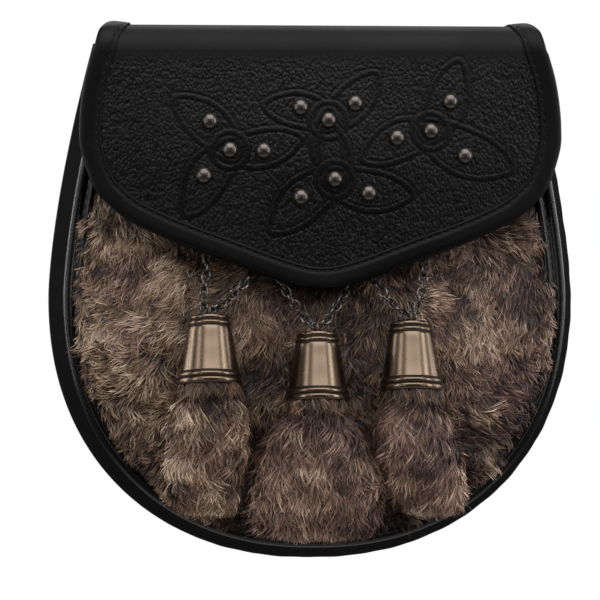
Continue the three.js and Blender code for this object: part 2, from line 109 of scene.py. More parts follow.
for box in SOFT_BOXES:
    lamp_data = bpy.data.lights.new(box["name"], "AREA")
    lamp_data.shape = "RECTANGLE"
    lamp_data.size, lamp_data.size_y = box["size"]
    lamp_data.energy = box["watts"]
    lamp = bpy.data.objects.new(box["name"], lamp_data)
    bpy.context.scene.collection.objects.link(lamp)
    lamp.location = box["at"]
    aim_at(lamp, camera_aim)


class Sock:
    """One value in a finish. Sums written with it add Math nodes to that finish."""

    def __init__(self, finish, output):
        self.finish, self.output = finish, output

    def sum_of(self, operation, *values):
        return self.finish.node("ShaderNodeMath", {"operation": operation}, dict(enumerate(values)))

    def __add__(self, other):
        return self.sum_of("ADD", self, other)

    def __sub__(self, other):
        return self.sum_of("SUBTRACT", self, other)

    def __rsub__(self, other):
        return self.sum_of("SUBTRACT", other, self)

    def __mul__(self, other):
        return self.sum_of("MULTIPLY", self, other)

    __radd__, __rmul__ = __add__, __mul__


class Finish:
    """A material on one Principled shader, or a world. Every other node comes from the method node."""

    def __init__(self, name, world=None):
        self.material = world or bpy.data.materials.new(name)
        self.material.use_nodes = True
        self.tree = self.material.node_tree
        self.tree.nodes.clear()
        if world is None:
            self.shader = self.tree.nodes.new("ShaderNodeBsdfPrincipled")
            surface = self.tree.nodes.new("ShaderNodeOutputMaterial")
            self.tree.links.new(self.shader.outputs[0], surface.inputs["Surface"])

    def plug(self, socket, value):
        if isinstance(value, Sock):
            self.tree.links.new(value.output, socket)
        elif socket.type == "RGBA" and len(value) == 3:
            socket.default_value = (*value, 1)
        else:
            socket.default_value = value

    def find(self, sockets, key):
        open_ones = [socket for socket in sockets if socket.enabled]
        if isinstance(key, int):
            return open_ones[key]
        return next(socket for socket in open_ones if socket.name == key)

    def node(self, kind, settings=None, values=None, out=0):
        made = self.tree.nodes.new(kind)
        for key, value in (settings or {}).items():
            if key == "stops":
                self.set_stops(made.color_ramp, value)
            else:
                setattr(made, key, value)
        for key, value in (values or {}).items():
            self.plug(self.find(made.inputs, key), value)
        return Sock(self, self.find(made.outputs, out)) if made.outputs else None

    def set_stops(self, ramp, stops):
        while len(ramp.elements) < len(stops):
            ramp.elements.new(1.0)
        for element, (position, colour) in zip(ramp.elements, stops):
            element.position = position
            element.color = (*colour, 1)

    def blend(self, share, first, second):
        values = {"Factor": share, "A": first, "B": second}
        return self.node("ShaderNodeMix", {"data_type": "RGBA"}, values, "Result")

    def mark(self, name):
        """A number that the mesh carries at each of its points."""
        return self.node("ShaderNodeAttribute", {"attribute_name": name}, out="Fac")

    def place(self):
        return self.node("ShaderNodeTexCoord", out="Object")

    def noise(self, scale, detail=3, stretch=(1, 1, 1)):
        where = self.node("ShaderNodeMapping", {}, {"Vector": self.place(), "Scale": stretch})
        return self.node("ShaderNodeTexNoise", {}, {"Vector": where, "Scale": scale, "Detail": detail})

    def bump(self, height, depth, strength=1.0):
        return self.node("ShaderNodeBump", {}, {"Height": height, "Distance": depth, "Strength": strength})

    def cover(self, **values):
        for name, value in values.items():
            self.plug(self.shader.inputs[name.replace("_", " ")], value)
        return self.material


AIR_LIGHT = 0.09
bpy.context.scene.world = bpy.data.worlds.new("white_sweep")
air = Finish("white_sweep", bpy.context.scene.world)
seen = air.node("ShaderNodeBackground", {}, {"Color": (1, 1, 1)})
lit = air.node("ShaderNodeBackground", {}, {"Color": (1, 1, 1), "Strength": AIR_LIGHT})
by_camera = air.node("ShaderNodeLightPath", out="Is Camera Ray")
backdrop = air.node("ShaderNodeMixShader", {}, {0: by_camera, 1: lit, 2: seen})
air.node("ShaderNodeOutputWorld", {}, {"Surface": backdrop})

FLOOR_DROP = 900 * MM
FLOOR_REACH = 1.3
floor_finish = Finish("pale_floor")
mottle = floor_finish.noise(6, 2)
floor_tone = floor_finish.blend(mottle, (0.50, 0.50, 0.50), (0.54, 0.54, 0.535))
floor_finish.cover(Base_Color=floor_tone, Roughness=0.9)
bpy.ops.mesh.primitive_circle_add(vertices=96, radius=FLOOR_REACH, fill_type="NGON")
floor = bpy.context.object
floor.name = "floor"
floor.location = (0, 0, BAG_BOTTOM - FLOOR_DROP)
floor.data.materials.append(floor_finish.material)
floor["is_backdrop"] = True

# ---------------------------------------------------------------------------------------------
# The bag: a flat back panel and a front panel of black hide, joined by a gusset that runs down one
# side, round the bottom and up the other. The gusset narrows the bag towards its front, and it is
# glued and sewn, so it swells a little and puckers between its seams.
# ---------------------------------------------------------------------------------------------

BODY_HALF = (back_high[0] - back_low[0]) / 2
BODY_TOP = back_high[2] - BAG_BOTTOM
TOP_HALF = 78.8 * MM
ROUND_POWER = 2.2
SIDE_POWER = 1.5


def side_half(z):
    """The bag's half width above its widest height."""
    up = np.clip((z - BODY_HALF) / (BODY_TOP - BODY_HALF), 0, None)
    return BODY_HALF - (BODY_HALF - TOP_HALF) * up ** SIDE_POWER


def with_inward(points):
    """An outline's points, each with the direction that leads in from the edge."""
    along = np.gradient(points, axis=0)
    along /= np.linalg.norm(along, axis=1, keepdims=True)
    return points, np.stack([-along[:, 1], along[:, 0]], axis=1)


def evenly(points, count):
    """Points at even steps along a line."""
    steps = np.linalg.norm(np.diff(points, axis=0), axis=1)
    reached = np.concatenate([[0], np.cumsum(steps)])
    wanted = np.linspace(0, reached[-1], count)
    return np.stack([np.interp(wanted, reached, column) for column in points.T], axis=1)


def bag_outline(top, count=260):
    """The bag's outline from its top left corner round the bottom to its top right corner."""
    fall = np.linspace(top, BODY_HALF, 80, endpoint=False)
    left = np.stack([-side_half(fall), fall], axis=1)
    angle = np.linspace(0, math.pi, 400)
    across = np.sign(np.cos(angle)) * np.abs(np.cos(angle)) ** (2 / ROUND_POWER)
    down = np.abs(np.sin(angle)) ** (2 / ROUND_POWER)
    low = np.stack([-BODY_HALF * across, BODY_HALF * (1 - down)], axis=1)
    right = left[::-1] * (-1, 1)
    return with_inward(evenly(np.concatenate([left, low, right]), count))


def from_bag(x, y, z):
    """Turns places counted from the bag's lowest edge and back face into the pouch's own frame."""
    spots = np.broadcast_arrays(np.add(x, BAG_MIDDLE), np.add(y, BAG_BACK), np.add(z, BAG_BOTTOM))
    return np.stack(spots, axis=-1)


def make_piece(name, points, faces, sharp=40):
    """A shown piece from its points and faces, smooth except across sharp bends."""
    mesh = bpy.data.meshes.new(name)
    mesh.from_pydata(np.asarray(points).reshape(-1, 3).tolist(), [], faces)
    mesh.update()
    mesh.shade_smooth()
    mesh.set_sharp_from_angle(angle=math.radians(sharp))
    piece = bpy.data.objects.new(name, mesh)
    bpy.context.scene.collection.objects.link(piece)
    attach(piece, "root")
    return piece


def loft_faces(rows, columns, start=0, capped=True, closed=False):
    """Faces over rows of points that each close on themselves, with a cap at either end."""
    faces = []
    for row in range(rows if closed else rows - 1):
        near, far = start + row * columns, start + (row + 1) % rows * columns
        for i in range(columns):
            j = (i + 1) % columns
            faces.append((near + i, near + j, far + j, far + i))
    if capped and not closed:
        faces.append(tuple(range(start + columns - 1, start - 1, -1)))
        faces.append(tuple(range(start + (rows - 1) * columns, start + rows * columns)))
    return faces


def face_out(piece):
    """Turns a closed piece's faces to point out of it."""
    bpy.context.view_layer.objects.active = piece
    bpy.ops.object.mode_set(mode="EDIT")
    bpy.ops.mesh.select_all(action="SELECT")
    bpy.ops.mesh.normals_make_consistent(inside=False)
    bpy.ops.object.mode_set(mode="OBJECT")


def smooth_rows(rows, per_step, keys):
    """Points on a smooth curve through a short table's rows."""
    table = np.array([[row[key] for key in keys] for row in rows]) * MM
    ends = np.concatenate([[2 * table[0] - table[1]], table, [2 * table[-1] - table[-2]]])
    made = []
    for i in range(1, len(ends) - 2):
        t = np.linspace(0, 1, per_step, endpoint=False)[:, None]
        a, b, c, d = ends[i - 1], ends[i], ends[i + 1], ends[i + 2]
        made.append(0.5 * (2 * b + (c - a) * t + (2 * a - 5 * b + 4 * c - d) * t ** 2
                           + (3 * b - a - 3 * c + d) * t ** 3))
    return np.concatenate([*made, table[-1:]])


def edge_strip(name, outline, section, ripple=0.0):
    """A strip of one cross section, rows of depth and inset, that follows the bag's outline."""
    points, inward = outline
    reach = np.arange(len(points))[:, None]
    wave = np.sin(reach * 0.83) * np.sin(reach * 0.31 + 1.0) * ripple
    middle = np.sin(np.linspace(0, 2 * math.pi, len(section), endpoint=False) / 2)[None, :]
    inset = section[None, :, 1] - wave * middle
    spots = points[:, None, :] + inward[:, None, :] * inset[:, :, None]
    rings = from_bag(spots[:, :, 0], section[None, :, 0], spots[:, :, 1])
    piece = make_piece(name, rings, loft_faces(len(points), len(section)))
    face_out(piece)
    return piece


def black_leather(name, tint, grain, depth, rough, gloss):
    """Black hide: fine pebbles and pores, soft creases, and a patchy shine where it is handled."""
    hide = Finish(name)
    pebbles = hide.node("ShaderNodeTexVoronoi", {"feature": "SMOOTH_F1"},
                        {"Vector": hide.place(), "Scale": 1 / grain, "Smoothness": 0.6}, "Distance")
    creases = hide.noise(55, 5, (1, 1, 0.45))
    pores = hide.noise(2600, 2)
    handled = hide.noise(24, 2)
    skin = pebbles * -0.8 + creases * 1.5 + pores * 0.25
    colour = hide.blend(handled, tint, tuple(1.9 * part for part in tint))
    shine = hide.node("ShaderNodeMapRange", {}, {"Value": handled + pebbles * 0.35, "From Min": 0.3,
                      "From Max": 0.95, "To Min": rough - 0.07, "To Max": rough + 0.12}, "Result")
    hide.cover(Base_Color=colour, Roughness=shine, Normal=hide.bump(skin, depth), Specular_IOR_Level=gloss)
    return hide.material


bag_hide = black_leather("bag_hide", (0.0008, 0.0008, 0.0009), 0.75 * MM, 0.05 * MM, 0.40, 0.09)
# The gusset's and the back's hide is the same black hide as bag_hide, given a base colour four to nine times
# lighter: painted light on the bag's sides, back and loops.
gusset_hide_painted_light = black_leather("gusset_hide_painted_light", (0.0036, 0.0036, 0.0038), 0.75 * MM, 0.09 * MM, 0.42, 0.003)
back_hide_painted_light = black_leather("back_hide_painted_light", (0.0070, 0.0070, 0.0074), 0.75 * MM, 0.09 * MM, 0.42, 0.12)

GUSSET_OUTSIDE = [
    {"y": -2.1, "inset": 0.4}, {"y": -9.5, "inset": 0.5}, {"y": -16.5, "inset": 1.8},
    {"y": -23.0, "inset": 3.9}, {"y": -30.3, "inset": 6.25},
]
GUSSET_THICK = 2.0 * MM
gusset_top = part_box("gusset")[1][2] - BAG_BOTTOM
gusset_out = smooth_rows(GUSSET_OUTSIDE, 5, ("y", "inset"))
gusset_in = gusset_out[::-2] + (0, GUSSET_THICK)
GUSSET_PUCKER = 0.25 * MM
gusset = edge_strip("gusset_skin", bag_outline(gusset_top), np.concatenate([gusset_out, gusset_in]),
                    GUSSET_PUCKER)
gusset.data.materials.append(gusset_hide_painted_light)
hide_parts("gusset")

PANEL_ROUND = [
    {"inset": 0.9, "y": 0.0}, {"inset": 0.35, "y": -0.12}, {"inset": 0.05, "y": -0.5},
    {"inset": 0.0, "y": -1.1}, {"inset": 0.05, "y": -1.7}, {"inset": 0.35, "y": -2.08},
    {"inset": 0.9, "y": -2.2},
]
sides, inward = bag_outline(BODY_TOP - 0.1 * MM)
rim = np.concatenate([sides, np.linspace(sides[-1], sides[0], 60)[1:-1]])
top_in = np.repeat([[0.0, -1.0]], len(rim) - len(sides), axis=0)
rim_in = np.concatenate([inward, top_in])
rim_in[[0, len(sides) - 1]] += (0, -1)
rings = []
for row in PANEL_ROUND:
    ring = rim + rim_in * row["inset"] * MM
    rings.append(from_bag(ring[:, 0], row["y"] * MM, ring[:, 1]))
back_skin = make_piece("back_panel_skin", rings, loft_faces(len(PANEL_ROUND), len(rim)))
face_out(back_skin)
back_skin.data.materials.append(back_hide_painted_light)
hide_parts("back_panel")

front_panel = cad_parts["front_panel"]
front_panel.data.materials.clear()
front_panel.data.materials.append(bag_hide)

# ---------------------------------------------------------------------------------------------
# The front binding: a strip of thin hide folded round the front panel's edge. Its outer bend stands
# up as a ridge, the seam sinks a groove along its middle, and waxed thread shows in the groove.
# ---------------------------------------------------------------------------------------------

BINDING_SECTION = [
    {"y": -29.8, "inset": 6.1}, {"y": -31.4, "inset": 5.85}, {"y": -32.9, "inset": 5.95},
    {"y": -33.9, "inset": 6.6}, {"y": -34.3, "inset": 7.5}, {"y": -34.2, "inset": 8.5},
    {"y": -33.5, "inset": 9.3}, {"y": -33.2, "inset": 9.9}, {"y": -33.5, "inset": 10.5},
    {"y": -34.05, "inset": 11.4}, {"y": -34.0, "inset": 12.3}, {"y": -33.3, "inset": 13.0},
]
SEAM_INSET = 9.9 * MM
SEAM_FACE = -33.25 * MM
THREAD_THICK = 0.62 * MM
STITCH_LONG = 2.5 * MM
STITCH_STEP = 3.5 * MM
binding_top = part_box("front_binding")[1][2] - BAG_BOTTOM
binding_round = smooth_rows(BINDING_SECTION, 3, ("y", "inset"))
binding_under = np.array([[-31.7, 13.0], [-31.7, 7.7], [-29.8, 7.7]]) * MM
front_binding = edge_strip("front_binding_skin", bag_outline(binding_top),
                           np.concatenate([binding_round, binding_under]))
binding_hide = black_leather("binding_hide", (0.0010, 0.0010, 0.0011), 0.6 * MM, 0.004 * MM, 0.24, 0.26)
front_binding.data.materials.append(binding_hide)
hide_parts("front_binding")


def unit(rows):
    """Rows of directions, each made one long."""
    return rows / np.maximum(np.linalg.norm(rows, axis=-1, keepdims=True), 1e-9)


def sew(name, seam, outward, finish, long=STITCH_LONG, step=STITCH_STEP):
    """A row of stitches, each a short round of thread sunk a little at both ends."""
    count = max(2, int(np.linalg.norm(np.diff(seam, axis=0), axis=1).sum() / step))
    line = evenly(np.concatenate([seam, outward], axis=1), count)
    middle, up = line[:, :3], unit(line[:, 3:])
    along = unit(np.gradient(middle, axis=0))
    aside = np.cross(along, up)
    shares = np.array([-0.5, -0.36, 0.0, 0.36, 0.5])
    swell = np.array([0.25, 0.85, 1.0, 0.85, 0.25])
    turn = np.linspace(0, 2 * math.pi, 6, endpoint=False)
    reach = along[:, None, None] * (shares * long)[None, :, None, None]
    sink = up[:, None, None] * (-(shares * 2) ** 4 * THREAD_THICK * 0.45)[None, :, None, None]
    wide = aside[:, None, None] * (np.cos(turn)[None, :] * swell[:, None])[None, :, :, None]
    high = up[:, None, None] * (np.sin(turn)[None, :] * swell[:, None])[None, :, :, None]
    points = middle[:, None, None] + reach + sink + (wide + high) * THREAD_THICK / 2
    faces = [face for i in range(count) for face in loft_faces(5, 6, 30 * i)]
    thread = make_piece(name, points, faces, 80)
    thread.data.materials.append(finish)
    return thread


waxed = Finish("waxed_thread")
strands = waxed.noise(1500, 2, (1, 1, 3))
waxed.cover(Base_Color=waxed.blend(strands, (0.0010, 0.0010, 0.0010), (0.0080, 0.0078, 0.0075)),
            Roughness=0.62, Normal=waxed.bump(strands, 0.1 * MM), Specular_IOR_Level=0.12)

points, inward = bag_outline(binding_top)
seam = points + inward * SEAM_INSET
forward = np.repeat([[0.0, -1.0, 0.0]], len(seam), axis=0)
sew("front_stitches", from_bag(seam[:, 0], SEAM_FACE, seam[:, 1]), forward, waxed.material)
BACK_SEAM_INSET = 4.2 * MM
points, inward = bag_outline(BODY_TOP - 34 * MM)
seam = points + inward * BACK_SEAM_INSET
sew("back_stitches", from_bag(seam[:, 0], 0.1 * MM, seam[:, 1]), -forward[:len(seam)], waxed.material)

# ---------------------------------------------------------------------------------------------
# The pelt: rabbit fur on its own thin skin, glued to the front panel. The fur is mottled grey and
# brown, lies down and outwards in small tufts, is dark at the roots and pale towards its tips, and
# spills over the binding at the sides. The dark at the roots is partly the hair's own colour and
# partly painted shade deep in the coat.
# ---------------------------------------------------------------------------------------------


def lattice(x, y, step, seed):
    """Smooth random hills between 0 and 1 whose tops lie about one step apart."""
    grid = np.random.default_rng(seed).random((64, 64))
    u, v = x / step + 20.0, y / step + 20.0
    i, j = np.floor(u).astype(int), np.floor(v).astype(int)
    s, t = u - i, v - j
    s, t = s * s * (3 - 2 * s), t * t * (3 - 2 * t)

    def at(a, b):
        return grid[a % 64, b % 64]

    low = at(i, j) * (1 - s) + at(i + 1, j) * s
    high = at(i, j + 1) * (1 - s) + at(i + 1, j + 1) * s
    return low * (1 - t) + high * t


def rise_between(value, low, high):
    """Goes smoothly from 0 at low to 1 at high."""
    share = np.clip((value - low) / (high - low), 0, 1)
    return share * share * (3 - 2 * share)


def form_of(node):
    """A soft solid's surface: its corners, triangles and rounded normals."""
    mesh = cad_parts[node].data
    corners = np.empty(len(mesh.vertices) * 3)
    mesh.vertices.foreach_get("co", corners)
    mesh.calc_loop_triangles()
    triangles = np.empty(len(mesh.loop_triangles) * 3, dtype=int)
    mesh.loop_triangles.foreach_get("vertices", triangles)
    keys = np.round(corners.reshape(-1, 3), 6)
    corners, merged = np.unique(keys, axis=0, return_inverse=True)
    triangles = merged.reshape(-1)[triangles].reshape(-1, 3)
    a, b, c = (corners[triangles[:, k]] for k in range(3))
    weighted = np.cross(b - a, c - a)
    normals = np.zeros_like(corners)
    for k in range(3):
        np.add.at(normals, triangles[:, k], weighted)
    return corners, triangles, unit(normals)


def scatter(form, count, chance, picks):
    """Random places over a form's surface, more of them where chance says so."""
    corners, triangles, normals = form
    a, b, c = (corners[triangles[:, k]] for k in range(3))
    facing = np.cross(b - a, c - a)
    weight = np.linalg.norm(facing, axis=1) * chance((a + b + c) / 3, unit(facing))
    chosen = picks.choice(len(triangles), count, p=weight / weight.sum())
    u, v = picks.random(count), picks.random(count)
    over = u + v > 1
    u[over], v[over] = 1 - u[over], 1 - v[over]
    shares = np.stack([1 - u - v, u, v], axis=1)
    spots = np.einsum("nk,nkd->nd", shares, corners[triangles[chosen]])
    return spots, unit(np.einsum("nk,nkd->nd", shares, normals[triangles[chosen]]))


def nearest(spots, centres):
    """The number of the centre that lies nearest to each spot."""
    tree = KDTree(len(centres))
    for number, centre in enumerate(centres.tolist()):
        tree.insert(centre, number)
    tree.balance()
    return np.array([tree.find(spot)[1] for spot in spots.tolist()])


HAIR_SHARES = np.array([0.0, 0.36, 0.70, 1.0])
HAIR_WIDTHS = np.array([1.0, 0.95, 0.62])
SWAY = 0.30
STAND_SPREAD = 0.30
CURL = 0.20
ROLL = 0.55
NORMAL_SPREAD = 0.30
TUFT_TONE_SPREAD = 0.13
HAIR_TONE_SPREAD = 0.13
SHEET_STRIP = 0.0015


def grow_fur(name, roots, normals, lay, length, lift, tone, hue, tuft, width, pull, picks):
    """Fur as tapered hairs that bow out of the skin, lie along lay and gather into tufts."""
    count = len(roots)
    centres = picks.choice(count, max(2, count // tuft), replace=False)
    mine = centres[nearest(roots, roots[centres])]
    sway = picks.normal(0, SWAY, count)[mine]
    stand = np.clip(picks.normal(1.0, STAND_SPREAD, count)[mine], 0.45, 1.7)
    tuft_tone = picks.normal(0, TUFT_TONE_SPREAD, count)[mine]
    side = unit(np.cross(lay, normals))
    lay = unit(lay + side * (sway + picks.normal(0, SWAY, count))[:, None])
    length = length * picks.uniform(0.72, 1.12, count)
    lift = lift * stand * picks.uniform(0.6, 1.25, count)
    curl = (picks.normal(0, CURL, count) + picks.normal(0, CURL, count)[mine]) * length
    t = HAIR_SHARES[None, :, None]
    bow = np.sin(t * 1.9) - 0.35 * t ** 2
    line = roots[:, None] + lay[:, None] * (length[:, None, None] * t) \
        + normals[:, None] * (lift[:, None, None] * bow) + side[:, None] * (curl[:, None, None] * t ** 2)
    gather = (pull * picks.uniform(0.35, 1.0, count))[:, None, None] * t ** 1.3
    line = line + (line[mine] - line) * gather
    heading = unit(np.gradient(line, axis=1))
    flat = unit(np.cross(heading, normals[:, None]))
    roll = picks.normal(0, ROLL, count)[:, None, None]
    across = unit(flat * np.cos(roll) + normals[:, None] * np.sin(roll))
    half = (width * picks.uniform(0.7, 1.3, count))[:, None, None] * HAIR_WIDTHS[None, :, None] / 2
    left, right = line[:, :3] - across[:, :3] * half, line[:, :3] + across[:, :3] * half
    points = np.concatenate([np.stack([left, right], axis=2).reshape(count, 6, 3), line[:, 3:]], axis=1)
    shading = unit(normals[:, None] - heading * (normals[:, None] * heading).sum(axis=2, keepdims=True)
                   + across * picks.normal(0, NORMAL_SPREAD, count)[:, None, None])
    point_normals = np.concatenate([np.repeat(shading[:, :3], 2, axis=1), shading[:, 3:]], axis=1)

    quads = np.array([[0, 1, 3, 2], [2, 3, 5, 4]])
    first = (np.arange(count) * 7)[:, None, None]
    corner = np.concatenate([(first + quads).reshape(count, 8), (first[:, 0] + [4, 5, 6])], axis=1)
    mesh = bpy.data.meshes.new(name)
    mesh.vertices.add(count * 7)
    mesh.vertices.foreach_set("co", points.reshape(-1))
    mesh.loops.add(count * 11)
    mesh.loops.foreach_set("vertex_index", corner.reshape(-1).astype(np.int32))
    mesh.polygons.add(count * 3)
    starts = (np.arange(count) * 11)[:, None] + [0, 4, 8]
    mesh.polygons.foreach_set("loop_start", starts.reshape(-1).astype(np.int32))
    shade = np.clip(tone + tuft_tone + picks.normal(0, HAIR_TONE_SPREAD, count), 0.03, 0.97)
    band = (hue + shade) / 2
    sheet = mesh.uv_layers.new(name="OFBake")
    u = band[:, None] + SHEET_STRIP * np.array([-1, 1, 1, -1, -1, 1, 1, -1, -1, 1, 0])
    v = HAIR_SHARES[[0, 0, 1, 1, 1, 1, 2, 2, 2, 2, 3]]
    v = np.broadcast_to(v * 0.96 + 0.02, u.shape)
    sheet.data.foreach_set("uv", np.stack([u, v], axis=2).reshape(-1))
    mesh.update(calc_edges=True)
    mesh.validate()
    mesh.shade_smooth()
    mesh.normals_split_custom_set_from_vertices(point_normals.reshape(-1, 3))
    piece = bpy.data.objects.new(name, mesh)
    bpy.context.scene.collection.objects.link(piece)
    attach(piece, "root")
    return piece


GREY_BROWN = [(0.0, (0.008, 0.004, 0.003)), (0.25, (0.043, 0.022, 0.015)), (0.5, (0.144, 0.084, 0.050)),
              (0.75, (0.325, 0.224, 0.144)), (1.0, (0.660, 0.530, 0.400))]
RED_BROWN = [(0.0, (0.009, 0.004, 0.004)), (0.25, (0.048, 0.021, 0.018)), (0.5, (0.142, 0.077, 0.064)),
             (0.75, (0.310, 0.196, 0.160)), (1.0, (0.570, 0.430, 0.350))]
# Along each hair: dark at the root, partly the hair's own colour and partly painted shade deep in the coat,
# then pale towards the tip.
ALONG_HAIR_WITH_ROOT_SHADE = [(0.0, (0.05, 0.04, 0.04)), (0.30, (0.23, 0.21, 0.20)), (0.62, (0.85, 0.82, 0.78)),
              (0.85, (1.30, 1.25, 1.18)), (1.0, (1.00, 0.96, 0.90))]

# Across the sheet lies a hair's tone, in one of two hues, and along it the way from root to tip.
fur = Finish("rabbit_fur")
sheet = fur.node("ShaderNodeUVMap", {"uv_map": "OFBake"})
across_sheet = fur.node("ShaderNodeSeparateXYZ", {}, {0: sheet}, "X") * 2
along_sheet = fur.node("ShaderNodeSeparateXYZ", {}, {0: sheet}, "Y")
red = fur.node("ShaderNodeMath", {"operation": "GREATER_THAN"}, {0: across_sheet, 1: 1.0})
tone = across_sheet - red
grey_hair = fur.node("ShaderNodeValToRGB", {"stops": GREY_BROWN}, {0: tone}, "Color")
red_hair = fur.node("ShaderNodeValToRGB", {"stops": RED_BROWN}, {0: tone}, "Color")
# The root-to-tip ramp: its dark root is partly painted shade deep in the coat.
root_shade_along_hair = fur.node("ShaderNodeValToRGB", {"stops": ALONG_HAIR_WITH_ROOT_SHADE}, {0: along_sheet}, "Color")
hair_colour = fur.node("ShaderNodeMix", {"data_type": "RGBA", "blend_type": "MULTIPLY"},
                       {"Factor": 1.0, "A": fur.blend(red, grey_hair, red_hair), "B": root_shade_along_hair}, "Result")
fur_hair = fur.cover(Base_Color=hair_colour, Roughness=0.50, Specular_IOR_Level=0.35)

# The skin under the fur is painted near black: painted shade down among the hair roots.
skin = Finish("painted_shade_fur_skin")
down = skin.noise(420, 4, (1, 1, 0.3))
skin.cover(Base_Color=skin.blend(down, (0.010, 0.007, 0.006), (0.045, 0.030, 0.024)),
           Roughness=0.9, Normal=skin.bump(down, 0.8 * MM))


def painted_shade_fur_skin(name, node, inset):
    """The skin under a piece of fur: its solid, rounded off and drawn in by inset, in a near-black finish
    that is painted shade among the hair roots.
    """
    corners, triangles, normals = form_of(node)
    piece = make_piece(name, corners - normals * inset, triangles.tolist(), 180)
    rounding = piece.modifiers.new("rounding", "SUBSURF")
    rounding.levels = rounding.render_levels = 1
    bpy.context.view_layer.objects.active = piece
    bpy.ops.object.modifier_apply(modifier=rounding.name)
    piece.data.materials.append(skin.material)
    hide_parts(node)
    return piece


flap_low, flap_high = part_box("flap_binding")
PELT_SKIN_INSET = 2.4 * MM
painted_shade_fur_skin("pelt_skin", "fur_panel", PELT_SKIN_INSET)

FLAP_RISE = 26 * MM
PELT_SPREAD = 0.040
PELT_RIM_RISE = 1.3 * MM
RIM_FROM = 0.72 * BODY_HALF
RIM_TO = 0.86 * BODY_HALF
TUFT_PULL = 0.5
LUMP_STEP = 12 * MM
LUMP_HIGH = 4.0 * MM
RED_PATCHES = [
    {"x": -66, "z": 104, "reach": 9}, {"x": -62, "z": 84, "reach": 7}, {"x": 52, "z": 112, "reach": 7},
    {"x": 66, "z": 66, "reach": 9}, {"x": 34, "z": 34, "reach": 8}, {"x": -14, "z": 92, "reach": 6},
]


def flap_edge_height(x):
    """About how high the flap's lower edge lies above the pouch's lowest edge."""
    return flap_low[2] + np.minimum(np.abs(x - 1.5 * MM) * 0.36, FLAP_RISE) + 2 * MM


def pelt_chance(middle, facing):
    """Fur is grown on the pelt's face, and only a little way up behind the flap."""
    bare = middle[:, 2] > flap_edge_height(middle[:, 0]) + 20 * MM
    return np.where(bare | (facing[:, 1] > -0.25), 0.0, 1.0)


def pelt_lay(spots, normals):
    """The fur falls and spreads to both sides, and swirls a little here and there."""
    x, z = spots[:, 0], spots[:, 2] - BAG_BOTTOM
    spread = np.radians(42) * np.tanh(x / (52 * MM))
    swirl = (lattice(x, z, 17 * MM, 3) - 0.5) * np.radians(110)
    swirl += (lattice(x, z, 7 * MM, 4) - 0.5) * np.radians(70)
    angle = spread + swirl
    lay = np.stack([np.sin(angle), np.zeros(len(x)), -np.cos(angle)], axis=1)
    return unit(lay - normals * (lay * normals).sum(axis=1, keepdims=True))


def pelt_tone_and_shade(spots):
    """Paler at the left edge, with painted shade dark down the middle and darkest behind the tassels."""
    x, z = spots[:, 0], spots[:, 2] - BAG_BOTTOM
    # The first hills share the lattice that lifts the fur into lumps, so the fur is painted paler on the
    # lumps and darker in the gaps between them: painted light and shade. The finer hills are random tone.
    hills = (lattice(x, spots[:, 2], LUMP_STEP, 5) - 0.5) * 0.46 + (lattice(x, z, 5 * MM, 6) - 0.5) * 0.44
    # middle and behind darken the fur round and behind the cones and tassels: painted shade.
    middle = np.exp(-(x / (44 * MM)) ** 4)
    left = 1 / (1 + np.exp((x + 50 * MM) / (9 * MM)))
    behind = middle * (1 - rise_between(z, 62 * MM, 84 * MM))
    return 0.55 + hills - 0.21 * middle - 0.10 * behind + 0.07 * left


def red_share(spots):
    """How likely a hair is to be one of the red-brown ones."""
    x, z = spots[:, 0], spots[:, 2] - BAG_BOTTOM
    share = 0.08 + 0.42 * rise_between(x, 0, 45 * MM)
    for patch in RED_PATCHES:
        gap = np.hypot(x - patch["x"] * MM, z - patch["z"] * MM) / (patch["reach"] * MM)
        share += 0.75 * np.exp(-gap ** 2)
    return share


PELT_COATS = [
    {"name": "pelt_under_fur", "hairs": 29000, "length": 7.5, "lift": 2.0, "tuft": 9, "width": 0.36,
     "shade": -0.12, "seed": 21},
    {"name": "pelt_top_fur", "hairs": 38000, "length": 7.2, "lift": 2.8, "tuft": 8, "width": 0.27,
     "shade": 0.05, "seed": 22},
]
pelt_form = form_of("fur_panel")
for coat in PELT_COATS:
    picks = np.random.default_rng(coat["seed"])
    roots, normals = scatter(pelt_form, coat["hairs"], pelt_chance, picks)
    below = 1 / (1 + np.exp((roots[:, 2] - flap_edge_height(roots[:, 0]) - 2 * MM) / (3 * MM)))
    lump = lattice(roots[:, 0], roots[:, 2], LUMP_STEP, 5) - 0.5
    roots = roots - normals * (PELT_SKIN_INSET - lump * LUMP_HIGH)[:, None]
    fall = np.minimum(roots[:, 2] - BAG_BOTTOM - BODY_HALF, 0)
    rim = rise_between(np.hypot(roots[:, 0], fall), RIM_FROM, RIM_TO)
    roots = roots + np.stack([roots[:, 0], np.zeros(len(roots)), fall], axis=1) * (PELT_SPREAD * rim)[:, None]
    roots[:, 1] -= PELT_RIM_RISE * rim
    long = coat["length"] * MM * (1 - 0.25 * rim)
    tone = pelt_tone_and_shade(roots) + coat["shade"]
    hue = (picks.random(len(roots)) < red_share(roots)).astype(float)
    lift = coat["lift"] * MM * (0.25 + 0.75 * below)
    fur_piece = grow_fur(coat["name"], roots, normals, pelt_lay(roots, normals), long, lift,
                         tone, hue, coat["tuft"], coat["width"] * MM, TUFT_PULL, picks)
    fur_piece.data.materials.append(fur_hair)

# ---------------------------------------------------------------------------------------------
# The flap: one piece of thicker hide, sewn to the back, bent over the bag's top and hanging down
# its front to a blunt point. Its front is embossed with a coarse pebbled grain and tooled with four
# knots of interlaced loops; the fold at the top is left smooth.
# ---------------------------------------------------------------------------------------------

